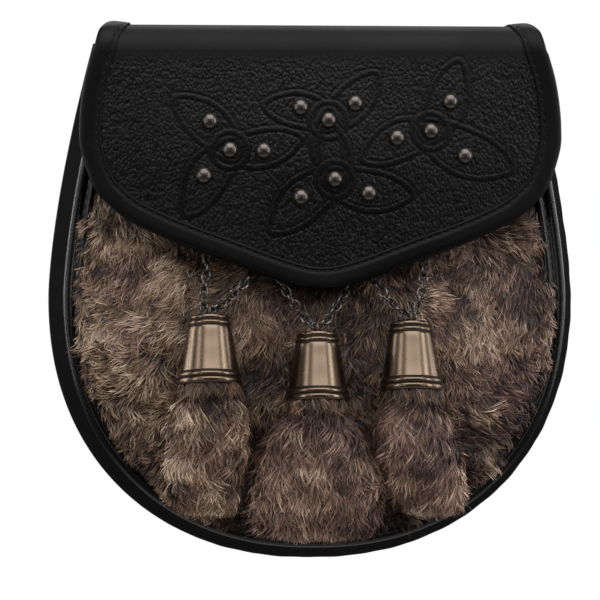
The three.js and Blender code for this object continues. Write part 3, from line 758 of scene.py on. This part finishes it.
FLAP_THICK = 1.8 * MM
FLAP_SHIFT = 1.5 * MM
FLAP_BACK_BEND = 5 * MM
FLAP_FRONT_BEND = 9 * MM
FLAP_FRONT = -39.2 * MM
FLAP_LEAN = math.radians(2.2)
FLAP_CROWN = 3.6 * MM
BINDING_PROUD = 2.1 * MM
flap_top = flap_high[2] - BINDING_PROUD - BAG_BOTTOM
flap_back = flap_high[1] - BINDING_PROUD - BAG_BACK
tongue_low = 154 * MM
tip_low = 97.1 * MM

bend_low = flap_top - FLAP_FRONT_BEND * (1 - math.sin(FLAP_LEAN))
flap_runs = [flap_top - FLAP_BACK_BEND - tongue_low, math.pi / 2 * FLAP_BACK_BEND,
             flap_back - FLAP_BACK_BEND - FLAP_FRONT - FLAP_FRONT_BEND,
             (math.pi / 2 - FLAP_LEAN) * FLAP_FRONT_BEND, (bend_low - tip_low) / math.cos(FLAP_LEAN)]
flap_stations = np.concatenate([[0], np.cumsum(flap_runs)])
flap_turns = np.radians([90, 90, 180, 180, 270, 270]) - [0, 0, 0, 0, FLAP_LEAN, FLAP_LEAN]
flap_length, front_start = flap_stations[-1], flap_stations[-2]
flap_along = np.linspace(0, flap_length, 6000)
flap_heading = np.interp(flap_along, flap_stations, flap_turns)
flap_step = flap_along[1]
flap_y = flap_back + np.cumsum(np.cos(flap_heading)) * flap_step
flap_z = tongue_low + np.cumsum(np.sin(flap_heading)) * flap_step


def down_front(z):
    """How far along the flap's line a height lies on its front."""
    return front_start + (bend_low - z) / math.cos(FLAP_LEAN)


def on_flap(x, along, out):
    """The place at x across and a distance along the flap's line, out from the leather's middle."""
    y = np.interp(along, flap_along, flap_y)
    z = np.interp(along, flap_along, flap_z)
    heading = np.interp(along, flap_along, flap_heading)
    swell = rise_between(along, front_start - 14 * MM, front_start + 45 * MM)
    waves = (lattice(x, along, 34 * MM, 8) - 0.5) * 0.7 * MM * swell
    rise = out + FLAP_CROWN * swell * (1 - (x / (86 * MM)) ** 2) + waves
    return from_bag(x + FLAP_SHIFT, y + np.sin(heading) * rise, z - np.cos(heading) * rise)


TONGUE_ROWS = [
    {"z": 154, "half": 58}, {"z": 155.5, "half": 66}, {"z": 162, "half": 72}, {"z": 178, "half": 76},
]
FRONT_ROWS = [
    {"z": 180.2, "half": 80.6}, {"z": 171.7, "half": 82.9}, {"z": 163.1, "half": 84.3},
    {"z": 154.6, "half": 84.9}, {"z": 146.1, "half": 84.4}, {"z": 133.3, "half": 80.0},
    {"z": 126.2, "half": 74.0}, {"z": 120.6, "half": 66.6}, {"z": 113.7, "half": 51.8},
    {"z": 107.2, "half": 34.2}, {"z": 101.0, "half": 17.5}, {"z": 97.9, "half": 7.0},
    {"z": 97.1, "half": 0}, {"z": 97.9, "half": -7.0},
]
tongue = smooth_rows(TONGUE_ROWS, 8, ("half", "z")) - (0, tongue_low)
FOLD_HALF = [76.0, 75.0, 73.6, 74.0, 74.6, 78.2, 79.9]
FOLD_AT = [1.0, 1.5, 2.0, 2.5, 3.0, 3.5, 4.0]
fold_along = np.interp(FOLD_AT, np.arange(6), flap_stations)
fold = np.stack([np.array(FOLD_HALF) * MM, fold_along], axis=1)
face = smooth_rows(FRONT_ROWS, 10, ("half", "z"))
face[:, 1] = down_front(face[:, 1])
half_edge = np.concatenate([tongue, fold, face[face[:, 0] >= 0]])
whole_edge = np.concatenate([half_edge, half_edge[-2::-1] * (-1, 1)])
edge_points, edge_inward = with_inward(evenly(whole_edge, 460))

KNOTS = [
    {"heart": (-30.8, 145.8), "loops": [(-37.8, 155.9), (-19.0, 145.5), (-39.9, 136.8)]},
    {"heart": (3.8, 156.4), "loops": [(-6.0, 160.9), (13.2, 162.4), (2.6, 146.6)]},
    {"heart": (39.9, 152.7), "loops": [(46.9, 163.2), (27.9, 150.2), (51.9, 144.0)]},
    {"heart": (5.9, 135.5), "loops": [(-6.0, 129.2), (17.8, 130.6), (6.6, 145.0)]},
]
LEAF_BACK = 0.55
LEAF_REACH = 2.15
LEAF_FULLNESS = 0.50
LEAF_SWEEP = 0.34
RING_SIZE = 6.4


def knot_lines(knot):
    """The centre lines of one knot: a pointed leaf round each nail, and a ring through them."""
    heart = np.array(knot["heart"])
    turn = np.linspace(0, 2 * math.pi, 150)
    lines = []
    for nail in knot["loops"]:
        reach = np.array(nail) - heart
        aside = np.array([-reach[1], reach[0]])
        out = (1 - np.cos(turn)) / 2
        width = np.sin(turn) * np.abs(np.sin(turn)) ** 0.6 * (1.1 - 0.25 * np.cos(turn)) * LEAF_FULLNESS
        sweep = (out - 0.25) * np.abs(out - 0.25) * LEAF_SWEEP * LEAF_REACH
        along = out * (LEAF_REACH + LEAF_BACK) - LEAF_BACK
        lines.append(heart + along[:, None] * reach + (width + sweep)[:, None] * aside)
    lines.append(heart + RING_SIZE * np.stack([np.cos(turn), np.sin(turn)], axis=1))
    return lines


def gap_to(spots, line):
    """How far each spot lies from a line's points."""
    gaps = np.empty(len(spots))
    for start in range(0, len(spots), 8000):
        part = spots[start:start + 8000]
        gaps[start:start + 8000] = np.sqrt(((part[:, None] - line[None]) ** 2).sum(axis=2)).min(axis=1)
    return gaps


FLAP_EDGE_INSET = 1.4 * MM
FLAP_COLUMNS = 300
TOOL_DEPTH = 0.15 * MM
TOOL_WIDTH = 0.50 * MM
BAND_HALF = 1.05 * MM
BAND_HIGH = 0.08 * MM
edge_in = edge_points + edge_inward * FLAP_EDGE_INSET
right_edge = edge_in[edge_in[:, 0] > 0]
fold_rows = np.linspace(0, front_start, 34, endpoint=False)
face_rows = np.linspace(front_start, right_edge[-1, 1] - 0.05 * MM, 190)
flap_rows = np.concatenate([fold_rows, face_rows])
row_half = np.interp(flap_rows, right_edge[:, 1], right_edge[:, 0])
across = np.linspace(-1, 1, FLAP_COLUMNS + 1)
across = across * (0.72 + 0.28 * across ** 2)
grid_x = across[None, :] * row_half[:, None]
grid_s = np.repeat(flap_rows[:, None], FLAP_COLUMNS + 1, axis=1)

flat_spots = np.stack([grid_x.ravel() + FLAP_SHIFT, bend_low - (grid_s.ravel() - front_start)], axis=1)
worked = (grid_s.ravel() > front_start) & (np.abs(grid_x.ravel()) < 74 * MM)
grooves = np.zeros(len(flat_spots))
bands = np.zeros(len(flat_spots))
for knot in KNOTS:
    for line in knot_lines(knot):
        gap = np.full(len(flat_spots), 1.0)
        gap[worked] = gap_to(flat_spots[worked], line * MM)
        band = 1 - rise_between(gap, 0.7 * BAND_HALF, 1.1 * BAND_HALF)
        cut = np.exp(-((gap - BAND_HALF) / TOOL_WIDTH) ** 2)
        grooves = np.maximum(grooves * (1 - band), cut * (1 - band))
        bands = np.maximum(bands, band)
tooling = np.maximum(grooves, bands * 0.8)
relief = (bands * BAND_HIGH - grooves * TOOL_DEPTH).reshape(grid_x.shape)
pebbled = rise_between(grid_s, front_start - 0.5 * MM, front_start + 7.0 * MM)

top_side = on_flap(grid_x, grid_s, FLAP_THICK / 2 + relief)
UNDER_STEP = 4
under_rows = np.append(np.arange(0, len(flap_rows) - 1, UNDER_STEP), len(flap_rows) - 1)
under_columns = np.arange(0, FLAP_COLUMNS + 1, UNDER_STEP)
under_side = on_flap(grid_x, grid_s, -FLAP_THICK / 2)[under_rows][:, under_columns]


def grid_faces(rows, columns, start, flip=False):
    """Faces over a plain grid of points."""
    first = np.arange(rows - 1)[:, None] * columns + np.arange(columns - 1)[None, :] + start
    corners = [0, columns, columns + 1, 1] if flip else [0, 1, columns + 1, columns]
    return (first.reshape(-1, 1) + np.array(corners)).tolist()


def rim_faces(fine, coarse, step_of):
    """Triangles that join a fine edge to a coarse one that has every few of its points."""
    faces = []
    for i in range(len(fine) - 1):
        faces.append((fine[i], fine[i + 1], coarse[step_of[i]]))
        if step_of[i + 1] > step_of[i]:
            faces.append((fine[i + 1], coarse[step_of[i + 1]], coarse[step_of[i]]))
    return faces


rows, columns = grid_x.shape
under_start = rows * columns
flap_faces = grid_faces(rows, columns, 0)
flap_faces += grid_faces(len(under_rows), len(under_columns), under_start, True)
top_index = np.arange(rows * columns).reshape(rows, columns)
under_index = np.arange(under_side[..., 0].size).reshape(under_side.shape[:2]) + under_start
row_steps = np.searchsorted(under_rows, np.arange(rows), side="right") - 1
column_steps = np.arange(columns) // UNDER_STEP
for k in (0, -1):
    flap_faces += rim_faces(top_index[:, k].tolist(), under_index[:, k].tolist(), row_steps)
    flap_faces += rim_faces(top_index[k].tolist(), under_index[k].tolist(), column_steps)
flap_skin = make_piece("flap_hide", np.concatenate([top_side.reshape(-1, 3), under_side.reshape(-1, 3)]),
                       flap_faces, 60)
face_out(flap_skin)
under_none = np.zeros(under_side[..., 0].size)
for mark, values in (("tooled", tooling), ("pebbled", pebbled.ravel())):
    layer = flap_skin.data.attributes.new(mark, "FLOAT", "POINT")
    layer.data.foreach_set("value", np.concatenate([values, under_none]).astype(np.float32))

hide = Finish("grained_hide")
cells = hide.node("ShaderNodeMapping", {}, {"Vector": hide.place(), "Scale": (1.0, 1.0, 0.72)})
pebbles = hide.node("ShaderNodeTexVoronoi", {"feature": "SMOOTH_F1"},
                    {"Vector": cells, "Scale": 1080, "Smoothness": 0.3, "Randomness": 1.0}, "Distance")
wrinkles = hide.noise(620, 3, (1.25, 1.0, 0.5))
pores = hide.noise(2400, 2)
worn = hide.noise(30, 3)
tooled = hide.mark("tooled")
grained = hide.mark("pebbled") * (1 - tooled * 0.85)
skin_height = (pebbles * -1.0 + wrinkles * 1.3) * grained + pores * 0.12
crests = hide.node("ShaderNodeMapRange", {}, {"Value": wrinkles - pebbles * 0.5, "From Min": 0.1,
                   "From Max": 0.5, "To Min": 0.0, "To Max": 1.0}, "Result")
tint = hide.blend(crests * grained, (0.0005, 0.0005, 0.0006), (0.0034, 0.0035, 0.0038))
bare = 1.0 - hide.mark("pebbled")
dull = worn - crests * 0.3 * grained - tooled * 0.2 + bare * 0.7
shine = hide.node("ShaderNodeMapRange", {}, {"Value": dull, "From Min": 0.0, "From Max": 1.4, "To Min": 0.28,
                  "To Max": 0.60}, "Result")
hide.cover(Base_Color=tint, Roughness=shine, Normal=hide.bump(skin_height, 0.27 * MM),
           Specular_IOR_Level=0.13)
flap_skin.data.materials.append(hide.material)
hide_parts("flap")

# ---------------------------------------------------------------------------------------------
# The flap's binding: a strip of thin smooth hide folded round the flap's raw edge and sewn through
# with one row of stitches. It stands a little proud of the leather on both sides.
# ---------------------------------------------------------------------------------------------

FLAP_BINDING_ROWS = [
    {"inset": 7.7, "out": 1.15}, {"inset": 7.45, "out": 1.5}, {"inset": 7.0, "out": 1.65},
    {"inset": 6.2, "out": 1.5}, {"inset": 5.3, "out": 1.85}, {"inset": 3.8, "out": 2.0},
    {"inset": 2.2, "out": 2.1}, {"inset": 1.0, "out": 1.95}, {"inset": 0.25, "out": 1.4},
    {"inset": 0.0, "out": 0.5}, {"inset": 0.0, "out": -0.5}, {"inset": 0.25, "out": -1.4},
    {"inset": 1.0, "out": -2.0}, {"inset": 7.0, "out": -2.0}, {"inset": 7.6, "out": -1.2},
]
FLAP_SEAM_INSET = 6.2 * MM
bound = smooth_rows(FLAP_BINDING_ROWS, 2, ("inset", "out"))
bound = np.concatenate([bound, np.array([[1.0, -1.15], [1.0, 1.15]]) * MM])
spots = edge_points[:, None] + edge_inward[:, None] * bound[None, :, :1]
stands = np.broadcast_to(bound[None, :, 1], spots.shape[:2])
binding_rings = on_flap(spots[:, :, 0], spots[:, :, 1], stands)
flap_binding = make_piece("flap_binding_skin", binding_rings, loft_faces(len(edge_points), len(bound)), 50)
face_out(flap_binding)
flap_binding.data.materials.append(bag_hide)
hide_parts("flap_binding")
flap_seam = edge_points + edge_inward * FLAP_SEAM_INSET
on_top = on_flap(flap_seam[:, 0], flap_seam[:, 1], 1.55 * MM)
higher = on_flap(flap_seam[:, 0], flap_seam[:, 1], 2.55 * MM)
sew("flap_stitches", on_top, higher - on_top, waxed.material, 2.1 * MM, 3.0 * MM)

# ---------------------------------------------------------------------------------------------
# The nails: fourteen domed heads of aged brass, set into the flap at the hearts and in the loops of
# the knots. Each has a small foot where it meets the leather, and the foot and the lower dome are
# painted darker: painted shade. Each has a small foot where it meets the leather, dark with old polish.
# ---------------------------------------------------------------------------------------------


def aged_brass(name, bright, dark, rough, brushed):
    """Brass with a brown patina in its grooves, rubbed bright on what stands proud; on the nails the same
    mark is painted shade on the lower dome.
    """
    brass = Finish(name)
    groove = brass.mark("groove")
    cloud = brass.noise(90, 3)
    brush = brass.noise(900, 2, brushed)
    stain = brass.node("ShaderNodeMapRange", {}, {"Value": cloud, "From Min": 0.35, "From Max": 0.75,
                       "To Min": 0.0, "To Max": 0.10}, "Result")
    # The dark mark is the patina in grooves plus random stains, and on the nails it is also painted shade.
    dirt_and_shade = brass.node("ShaderNodeClamp", {}, {"Value": groove + stain})
    colour = brass.blend(dirt_and_shade, bright, dark)
    brass.cover(Base_Color=colour, Metallic=1.0 - groove * 0.35,
                Roughness=rough + dirt_and_shade * 0.22 + brush * 0.03, Normal=brass.bump(brush, 0.003 * MM))
    return brass.material


def turned(name, profile, marks, sides, place, axis, finish):
    """A turned piece: rows of radius and height spun round an axis, with a mark for the patina in its grooves
    and for painted shade.
    """
    spin = np.linspace(0, 2 * math.pi, sides, endpoint=False)
    upright = Vector(axis).normalized()
    first = upright.orthogonal().normalized()
    second = upright.cross(first)
    ring = np.cos(spin)[:, None] * np.array(first) + np.sin(spin)[:, None] * np.array(second)
    radius, height = np.asarray(profile).T
    rise = np.array(upright) * height[:, None, None]
    points = np.array(place) + ring[None] * radius[:, None, None] + rise
    piece = make_piece(name, points, loft_faces(len(profile), sides), 60)
    face_out(piece)
    groove = piece.data.attributes.new("groove", "FLOAT", "POINT")
    groove.data.foreach_set("value", np.repeat(marks, sides).astype(np.float32))
    piece.data.materials.append(finish)
    return piece


nail_brass = aged_brass("nail_brass", (0.080, 0.068, 0.061), (0.012, 0.010, 0.009), 0.30, (1, 1, 1))
NAIL_RADIUS = 2.9 * MM
NAIL_HEIGHT = 2.5 * MM
NAIL_RIM = 0.35 * MM
dome_turn = np.linspace(0, math.pi / 2, 12)
dome_high = NAIL_RIM + (NAIL_HEIGHT - NAIL_RIM) * np.sin(dome_turn)
dome = np.stack([NAIL_RADIUS * np.cos(dome_turn), dome_high], axis=1)
nail_profile = np.concatenate([[[NAIL_RADIUS * 0.98, 0.0]], dome])
nail_profile[-1, 0] = 0.02 * MM
# The nails' feet and lower domes are marked darker: painted shade.
nail_painted_shade = np.clip(1.2 - nail_profile[:, 1] / (1.1 * MM), 0, 1)
for number in range(1, 15):
    node = f"stud_{number:02d}"
    low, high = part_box(node)
    x = (low[0] + high[0]) / 2 - BAG_MIDDLE - FLAP_SHIFT
    along = down_front((low[2] + high[2]) / 2 - BAG_BOTTOM)
    foot = on_flap(np.array([x]), np.array([along]), np.array([FLAP_THICK / 2 - 0.1 * MM]))[0]
    tip = on_flap(np.array([x]), np.array([along]), np.array([FLAP_THICK]))[0]
    nail = turned(f"nail_{number:02d}", nail_profile, nail_painted_shade, 28, foot, tip - foot, nail_brass)
    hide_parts(node)

# ---------------------------------------------------------------------------------------------
# The cones: three cups turned from brass, narrow above and open below, with two beads round the
# top, two round the mouth, and a wire eye soldered on for the chain. They lean on the fur.
# ---------------------------------------------------------------------------------------------

CONE_LEAN = math.radians(9)
CONE_TALL = 24.3 * MM
CONE_TOP_BACK = 1.1 * MM
MOUTH_DOWN = 22.5 * MM
EYE_STANDS = 6.0 * MM
CONE_ROWS = [
    {"r": 1.6, "down": -0.15, "groove": 0.7}, {"r": 4.4, "down": -0.1, "groove": 0.5},
    {"r": 6.5, "down": 0.0, "groove": 0.1}, {"r": 7.05, "down": 0.35, "groove": 0.0},
    {"r": 7.25, "down": 0.95, "groove": 0.0}, {"r": 7.0, "down": 1.5, "groove": 0.2},
    {"r": 6.85, "down": 1.75, "groove": 1.0}, {"r": 7.1, "down": 2.0, "groove": 0.3},
    {"r": 7.65, "down": 2.3, "groove": 0.0}, {"r": 7.8, "down": 2.85, "groove": 0.0},
    {"r": 7.6, "down": 3.4, "groove": 0.2}, {"r": 7.35, "down": 3.65, "groove": 1.0},
    {"r": 7.55, "down": 3.95, "groove": 0.3}, {"r": 7.85, "down": 4.6, "groove": 0.0},
    {"r": 8.35, "down": 8.2, "groove": 0.0}, {"r": 8.95, "down": 12.0, "groove": 0.0},
    {"r": 9.55, "down": 16.0, "groove": 0.0}, {"r": 10.1, "down": 19.2, "groove": 0.0},
    {"r": 10.15, "down": 19.6, "groove": 0.4}, {"r": 9.95, "down": 19.85, "groove": 1.0},
    {"r": 10.15, "down": 20.15, "groove": 0.5}, {"r": 10.75, "down": 20.5, "groove": 0.0},
    {"r": 10.9, "down": 21.1, "groove": 0.0}, {"r": 10.7, "down": 21.7, "groove": 0.2},
    {"r": 10.4, "down": 21.95, "groove": 1.0}, {"r": 10.65, "down": 22.2, "groove": 0.4},
    {"r": 11.15, "down": 22.55, "groove": 0.0}, {"r": 11.25, "down": 23.2, "groove": 0.0},
    {"r": 11.05, "down": 23.9, "groove": 0.1}, {"r": 10.6, "down": 24.25, "groove": 0.4},
    {"r": 10.0, "down": 24.0, "groove": 0.9}, {"r": 9.6, "down": 20.0, "groove": 1.0},
    {"r": 7.4, "down": 5.0, "groove": 1.0}, {"r": 1.6, "down": 1.0, "groove": 1.0},
]
EYE_RADIUS = 2.0 * MM
EYE_WIRE = 0.62 * MM
cone_brass = aged_brass("cone_brass", (0.128, 0.093, 0.066), (0.005, 0.0035, 0.0025), 0.25, (1, 1, 0.02))
cone_table = smooth_rows(CONE_ROWS, 3, ("r", "down", "groove"))
cone_profile = cone_table[:, :2] * (1, -1)
cone_marks = np.clip(cone_table[:, 2] / MM, 0, 1)
cone_up = Vector((0, math.sin(CONE_LEAN), math.cos(CONE_LEAN)))


def cone_place(node):
    """The middle of a cone's top, worked out from its box."""
    low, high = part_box(node)
    top = high[2] - EYE_STANDS * math.cos(CONE_LEAN)
    middle = (low[1] + high[1]) / 2
    forward = 0.5 * CONE_TALL * math.sin(CONE_LEAN) - CONE_TOP_BACK
    return np.array([(low[0] + high[0]) / 2, middle + forward, top])


def wire_ring(centre, long, wide, wire, along, across, ring_sides=22, wire_sides=8):
    """A closed loop of wire, longer than it is wide."""
    spin = np.linspace(0, 2 * math.pi, ring_sides, endpoint=False)
    path = centre + np.outer(np.cos(spin) * long, along) + np.outer(np.sin(spin) * wide, across)
    out = unit(np.outer(np.cos(spin) * wide, along) + np.outer(np.sin(spin) * long, across))
    lifted = np.cross(along, across)
    turn = np.linspace(0, 2 * math.pi, wire_sides, endpoint=False)[None, :, None]
    return path[:, None] + wire * (np.cos(turn) * out[:, None] + np.sin(turn) * lifted)


cone_tops = {}
for side in ("left", "middle", "right"):
    top = cone_place(f"cone_{side}")
    cone_tops[side] = top
    cone = turned(f"cone_{side}_cup", cone_profile, cone_marks, 72, top, cone_up, cone_brass)
    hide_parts(f"cone_{side}")
    eye_middle = top + np.array(cone_up) * (EYE_RADIUS - 0.3 * MM)
    eye_points = wire_ring(eye_middle, EYE_RADIUS, EYE_RADIUS, EYE_WIRE, np.array(cone_up),
                           np.array(cone_up.cross(Vector((1, 0, 0)))))
    eye = make_piece(f"cone_{side}_eye", eye_points, loft_faces(22, 8, closed=True), 180)
    eye_groove = eye.data.attributes.new("groove", "FLOAT", "POINT")
    eye_groove.data.foreach_set("value", np.full(22 * 8, 0.5, dtype=np.float32))
    eye.data.materials.append(cone_brass)

# ---------------------------------------------------------------------------------------------
# The chain: a fine cable chain of blackened steel in one long zigzag. It hangs from four hidden
# hangers on the pelt and passes through the eye of each cone.
# ---------------------------------------------------------------------------------------------

LINK_LONG = 2.15 * MM
LINK_WIDE = 1.45 * MM
LINK_WIRE = 0.40 * MM
LINK_PITCH = 3.0 * MM
HANGER_SPREAD = 2.2 * MM
CHAIN_SAG = 1.6 * MM

chain_steel = Finish("blackened_steel")
rubbed = chain_steel.noise(700, 3)
worn_share = chain_steel.node("ShaderNodeMapRange", {}, {"Value": rubbed, "From Min": 0.42,
                              "From Max": 0.68, "To Min": 0.0, "To Max": 1.0}, "Result")
steel_colour = chain_steel.blend(worn_share, (0.012, 0.011, 0.010), (0.13, 0.12, 0.11))
chain_steel.cover(Base_Color=steel_colour, Metallic=0.85, Roughness=0.42 - worn_share * 0.16,
                  Normal=chain_steel.bump(rubbed, 0.04 * MM))


def chain_leg(start, end, bow):
    """Even places for the links of one leg, and the way that each one runs."""
    t = np.linspace(0, 1, 60)[:, None]
    sag = np.array([bow, 0, -CHAIN_SAG * 0.4])
    line = start + (end - start) * t + sag * 4 * t * (1 - t)
    length = np.linalg.norm(np.diff(line, axis=0), axis=1).sum()
    line = evenly(line, max(3, round(length / LINK_PITCH) + 1))
    return line, unit(np.gradient(line, axis=0))


picks = np.random.default_rng(31)
for index, side in enumerate(("left", "middle", "right")):
    eye = cone_tops[side] + np.array(cone_up) * (EYE_RADIUS * 1.2)
    rings = []
    for way, hanger in ((-1, index + 1), (1, index + 2)):
        low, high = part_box(f"chain_hanger_{hanger}")
        shares_hanger = index > 0 if way < 0 else index < 2
        shift = -way * HANGER_SPREAD if shares_hanger else 0
        start = np.array([(low[0] + high[0]) / 2 + shift, (low[1] + high[1]) / 2, low[2] - 1.0 * MM])
        end = eye + np.array([way * 1.9 * MM, 0, 0.5 * MM])
        middles, headings = chain_leg(start, end, way * 1.3 * MM)
        for link, (middle, heading) in enumerate(zip(middles, headings)):
            facing = unit(np.cross(heading, [0, -1, 0]))
            lifted = np.cross(heading, facing)
            tilt = math.pi / 2 * (link % 2) + picks.normal(0.35, 0.18)
            aside = facing * math.cos(tilt) + lifted * math.sin(tilt)
            rings.append(wire_ring(middle, LINK_LONG, LINK_WIDE, LINK_WIRE, heading, aside, 18, 7))
    rings.append(wire_ring(eye, 2.1 * MM, 1.5 * MM, LINK_WIRE, np.array([1.0, 0, 0]),
                           np.array([0, 0.5, 0.866]), 18, 7))
    chain_faces = [face for k in range(len(rings)) for face in loft_faces(18, 7, k * 18 * 7, closed=True)]
    chain = make_piece(f"chain_{side}_links", np.stack(rings), chain_faces, 180)
    chain.data.materials.append(chain_steel.material)
    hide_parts(f"chain_{side}")

# ---------------------------------------------------------------------------------------------
# The tassels: twists of the same rabbit fur, gathered and glued into the cones. The fur falls out
# of the mouth, swells, and ends in soft uneven tips; the middle tassel is the fullest.
# ---------------------------------------------------------------------------------------------

TASSEL_SKIN_INSET = 3.0 * MM
COLLAR_HAIRS = 1500
COLLAR_RADIUS = 9.4 * MM
MIDDLE_FULLER = 1.35
TASSEL_TONES = (0.30, 0.25, 0.265)
TASSEL_RED = (0.22, 0.62, 0.62)
TASSEL_COATS = [
    {"part": "under", "hairs": 6600, "length": 8.5, "lift": 2.0, "tuft": 10, "width": 0.38, "shade": -0.12},
    {"part": "top", "hairs": 12500, "length": 9, "lift": 2.9, "tuft": 11, "width": 0.31, "shade": 0.05},
]
for index, side in enumerate(("left", "middle", "right")):
    node = f"tassel_{side}"
    form = form_of(node)
    painted_shade_fur_skin(f"{node}_skin", node, TASSEL_SKIN_INSET)
    low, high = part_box(node)
    mouth = cone_tops[side] - np.array(cone_up) * MOUTH_DOWN
    spread = MIDDLE_FULLER if side == "middle" else 1.0

    def tassel_chance(middle, facing):
        """Fur is grown only below the cone's mouth."""
        return np.where(middle[:, 2] > mouth[2] + 1 * MM, 0.0, 1.0)

    for coat in TASSEL_COATS:
        picks = np.random.default_rng(40 + index * 2 + (coat["part"] == "top"))
        hairs = int(coat["hairs"] * spread)
        roots, normals = scatter(form, hairs, tassel_chance, picks)
        source = mouth + np.array([0, 0, 14 * MM])
        fall = unit(roots - source) + np.array([0, 0, -0.55])
        x, z = roots[:, 0] + roots[:, 1] * 0.7, roots[:, 2]
        swirl = lattice(x, z, 11 * MM, 50 + index) - 0.5
        aside = unit(np.cross(fall, normals))
        fall = unit(fall) + aside * swirl[:, None]
        lay = unit(fall - normals * (fall * normals).sum(axis=1, keepdims=True) * 0.9)
        room = np.clip((roots[:, 2] - low[2] + 1.5 * MM) / (coat["length"] * MM), 0.3, 1.0)
        near_mouth = rise_between(mouth[2] - roots[:, 2], -1 * MM, 9 * MM)
        hills = (lattice(x, z, 9 * MM, 60 + index) - 0.5) * 0.56
        hills += (lattice(x, z, 4 * MM, 66 + index) - 0.5) * 0.50
        paler_below = 0.13 * rise_between(mouth[2] - roots[:, 2], 0, 16 * MM)
        # The normals term paints each tassel paler on the side that faces front and darker on its back:
        # painted light and shade.
        tone = TASSEL_TONES[index] + paler_below + hills + coat["shade"] - normals[:, 1] * 0.10
        redder = TASSEL_RED[index] + 0.3 * (lattice(x, z, 14 * MM, 70 + index) > 0.62)
        hue = (picks.random(hairs) < redder).astype(float)
        roots = roots - normals * TASSEL_SKIN_INSET
        if coat["part"] == "under":
            turn = picks.uniform(0, 2 * math.pi, COLLAR_HAIRS)
            ring = np.stack([np.cos(turn), np.sin(turn), np.zeros(COLLAR_HAIRS)], axis=1)
            wide = COLLAR_RADIUS * np.sqrt(picks.uniform(0.45, 1.0, COLLAR_HAIRS))[:, None]
            roots = np.concatenate([roots, mouth + ring * wide + np.array([0, 0, 3 * MM])])
            normals = np.concatenate([normals, ring])
            lay = np.concatenate([lay, unit(ring * 0.22 * wide / COLLAR_RADIUS - [0, 0, 1])])
            room = np.concatenate([room, picks.uniform(0.9, 1.3, COLLAR_HAIRS)])
            near_mouth = np.concatenate([near_mouth, np.zeros(COLLAR_HAIRS)])
            tone = np.concatenate([tone, picks.uniform(0.2, 0.42, COLLAR_HAIRS)])
            hue = np.concatenate([hue, np.zeros(COLLAR_HAIRS)])
        tuft_piece = grow_fur(f"{node}_{coat['part']}_fur", roots, normals, lay, coat["length"] * MM * room,
                              coat["lift"] * MM * (0.35 + 0.65 * near_mouth), tone, hue, coat["tuft"],
                              coat["width"] * MM, TUFT_PULL, picks)
        tuft_piece.data.materials.append(fur_hair)

# ---------------------------------------------------------------------------------------------
# The hidden fastenings: the snap under the flap's point, the plates that the chain hangs on, and
# two leather loops sewn to the back for the belt or chain strap.
# ---------------------------------------------------------------------------------------------

for node in ("snap", "chain_hanger_1", "chain_hanger_2", "chain_hanger_3", "chain_hanger_4"):
    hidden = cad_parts[node]
    hidden.data.materials.clear()
    hidden.data.materials.append(chain_steel.material)

LOOP_THICK = 2.2 * MM
LOOP_ROWS = [
    {"z": -20, "y": 1.4}, {"z": -16, "y": 1.4}, {"z": -13.6, "y": 1.8}, {"z": -12.4, "y": 4.2},
    {"z": -11.2, "y": 7.2}, {"z": -8.5, "y": 8.1}, {"z": 0, "y": 8.1}, {"z": 8.5, "y": 8.1},
    {"z": 11.2, "y": 7.2}, {"z": 12.4, "y": 4.2}, {"z": 13.6, "y": 1.8}, {"z": 16, "y": 1.4},
    {"z": 20, "y": 1.4},
]
LOOP_EDGE = np.array([[-1, -0.6], [-0.97, -1], [0.97, -1], [1, -0.6],
                      [1, 0.6], [0.97, 1], [-0.97, 1], [-1, 0.6]])
loop_line = smooth_rows(LOOP_ROWS, 6, ("z", "y"))
loop_heading = unit(np.gradient(loop_line, axis=0))
for side in ("left", "right"):
    low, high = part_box(f"belt_loop_{side}")
    middle = [(low[0] + high[0]) / 2, BAG_BACK, (low[2] + high[2]) / 2]
    half_wide = (high[0] - low[0]) / 2
    thick = LOOP_EDGE[None, :, 1] * LOOP_THICK / 2
    z = loop_line[:, None, 0] - loop_heading[:, None, 1] * thick
    y = loop_line[:, None, 1] + loop_heading[:, None, 0] * thick
    x = np.broadcast_to(LOOP_EDGE[None, :, 0] * half_wide, z.shape)
    loop = make_piece(f"belt_loop_{side}_strap", np.stack([x, y, z], axis=-1) + middle,
                      loft_faces(len(loop_line), len(LOOP_EDGE)), 40)
    face_out(loop)
    loop.data.materials.append(back_hide_painted_light)
    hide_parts(f"belt_loop_{side}")
    for end, height in (("foot", -16.5 * MM), ("head", 16.5 * MM)):
        run = np.linspace(-half_wide + 2 * MM, half_wide - 2 * MM, 20)
        seam = np.stack([run, np.full(20, 2.6 * MM), np.full(20, height)], axis=1) + middle
        backward = np.repeat([[0.0, 1.0, 0.0]], 20, axis=0)
        sew(f"belt_loop_{side}_{end}_stitches", seam, backward, waxed.material)

low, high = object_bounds()
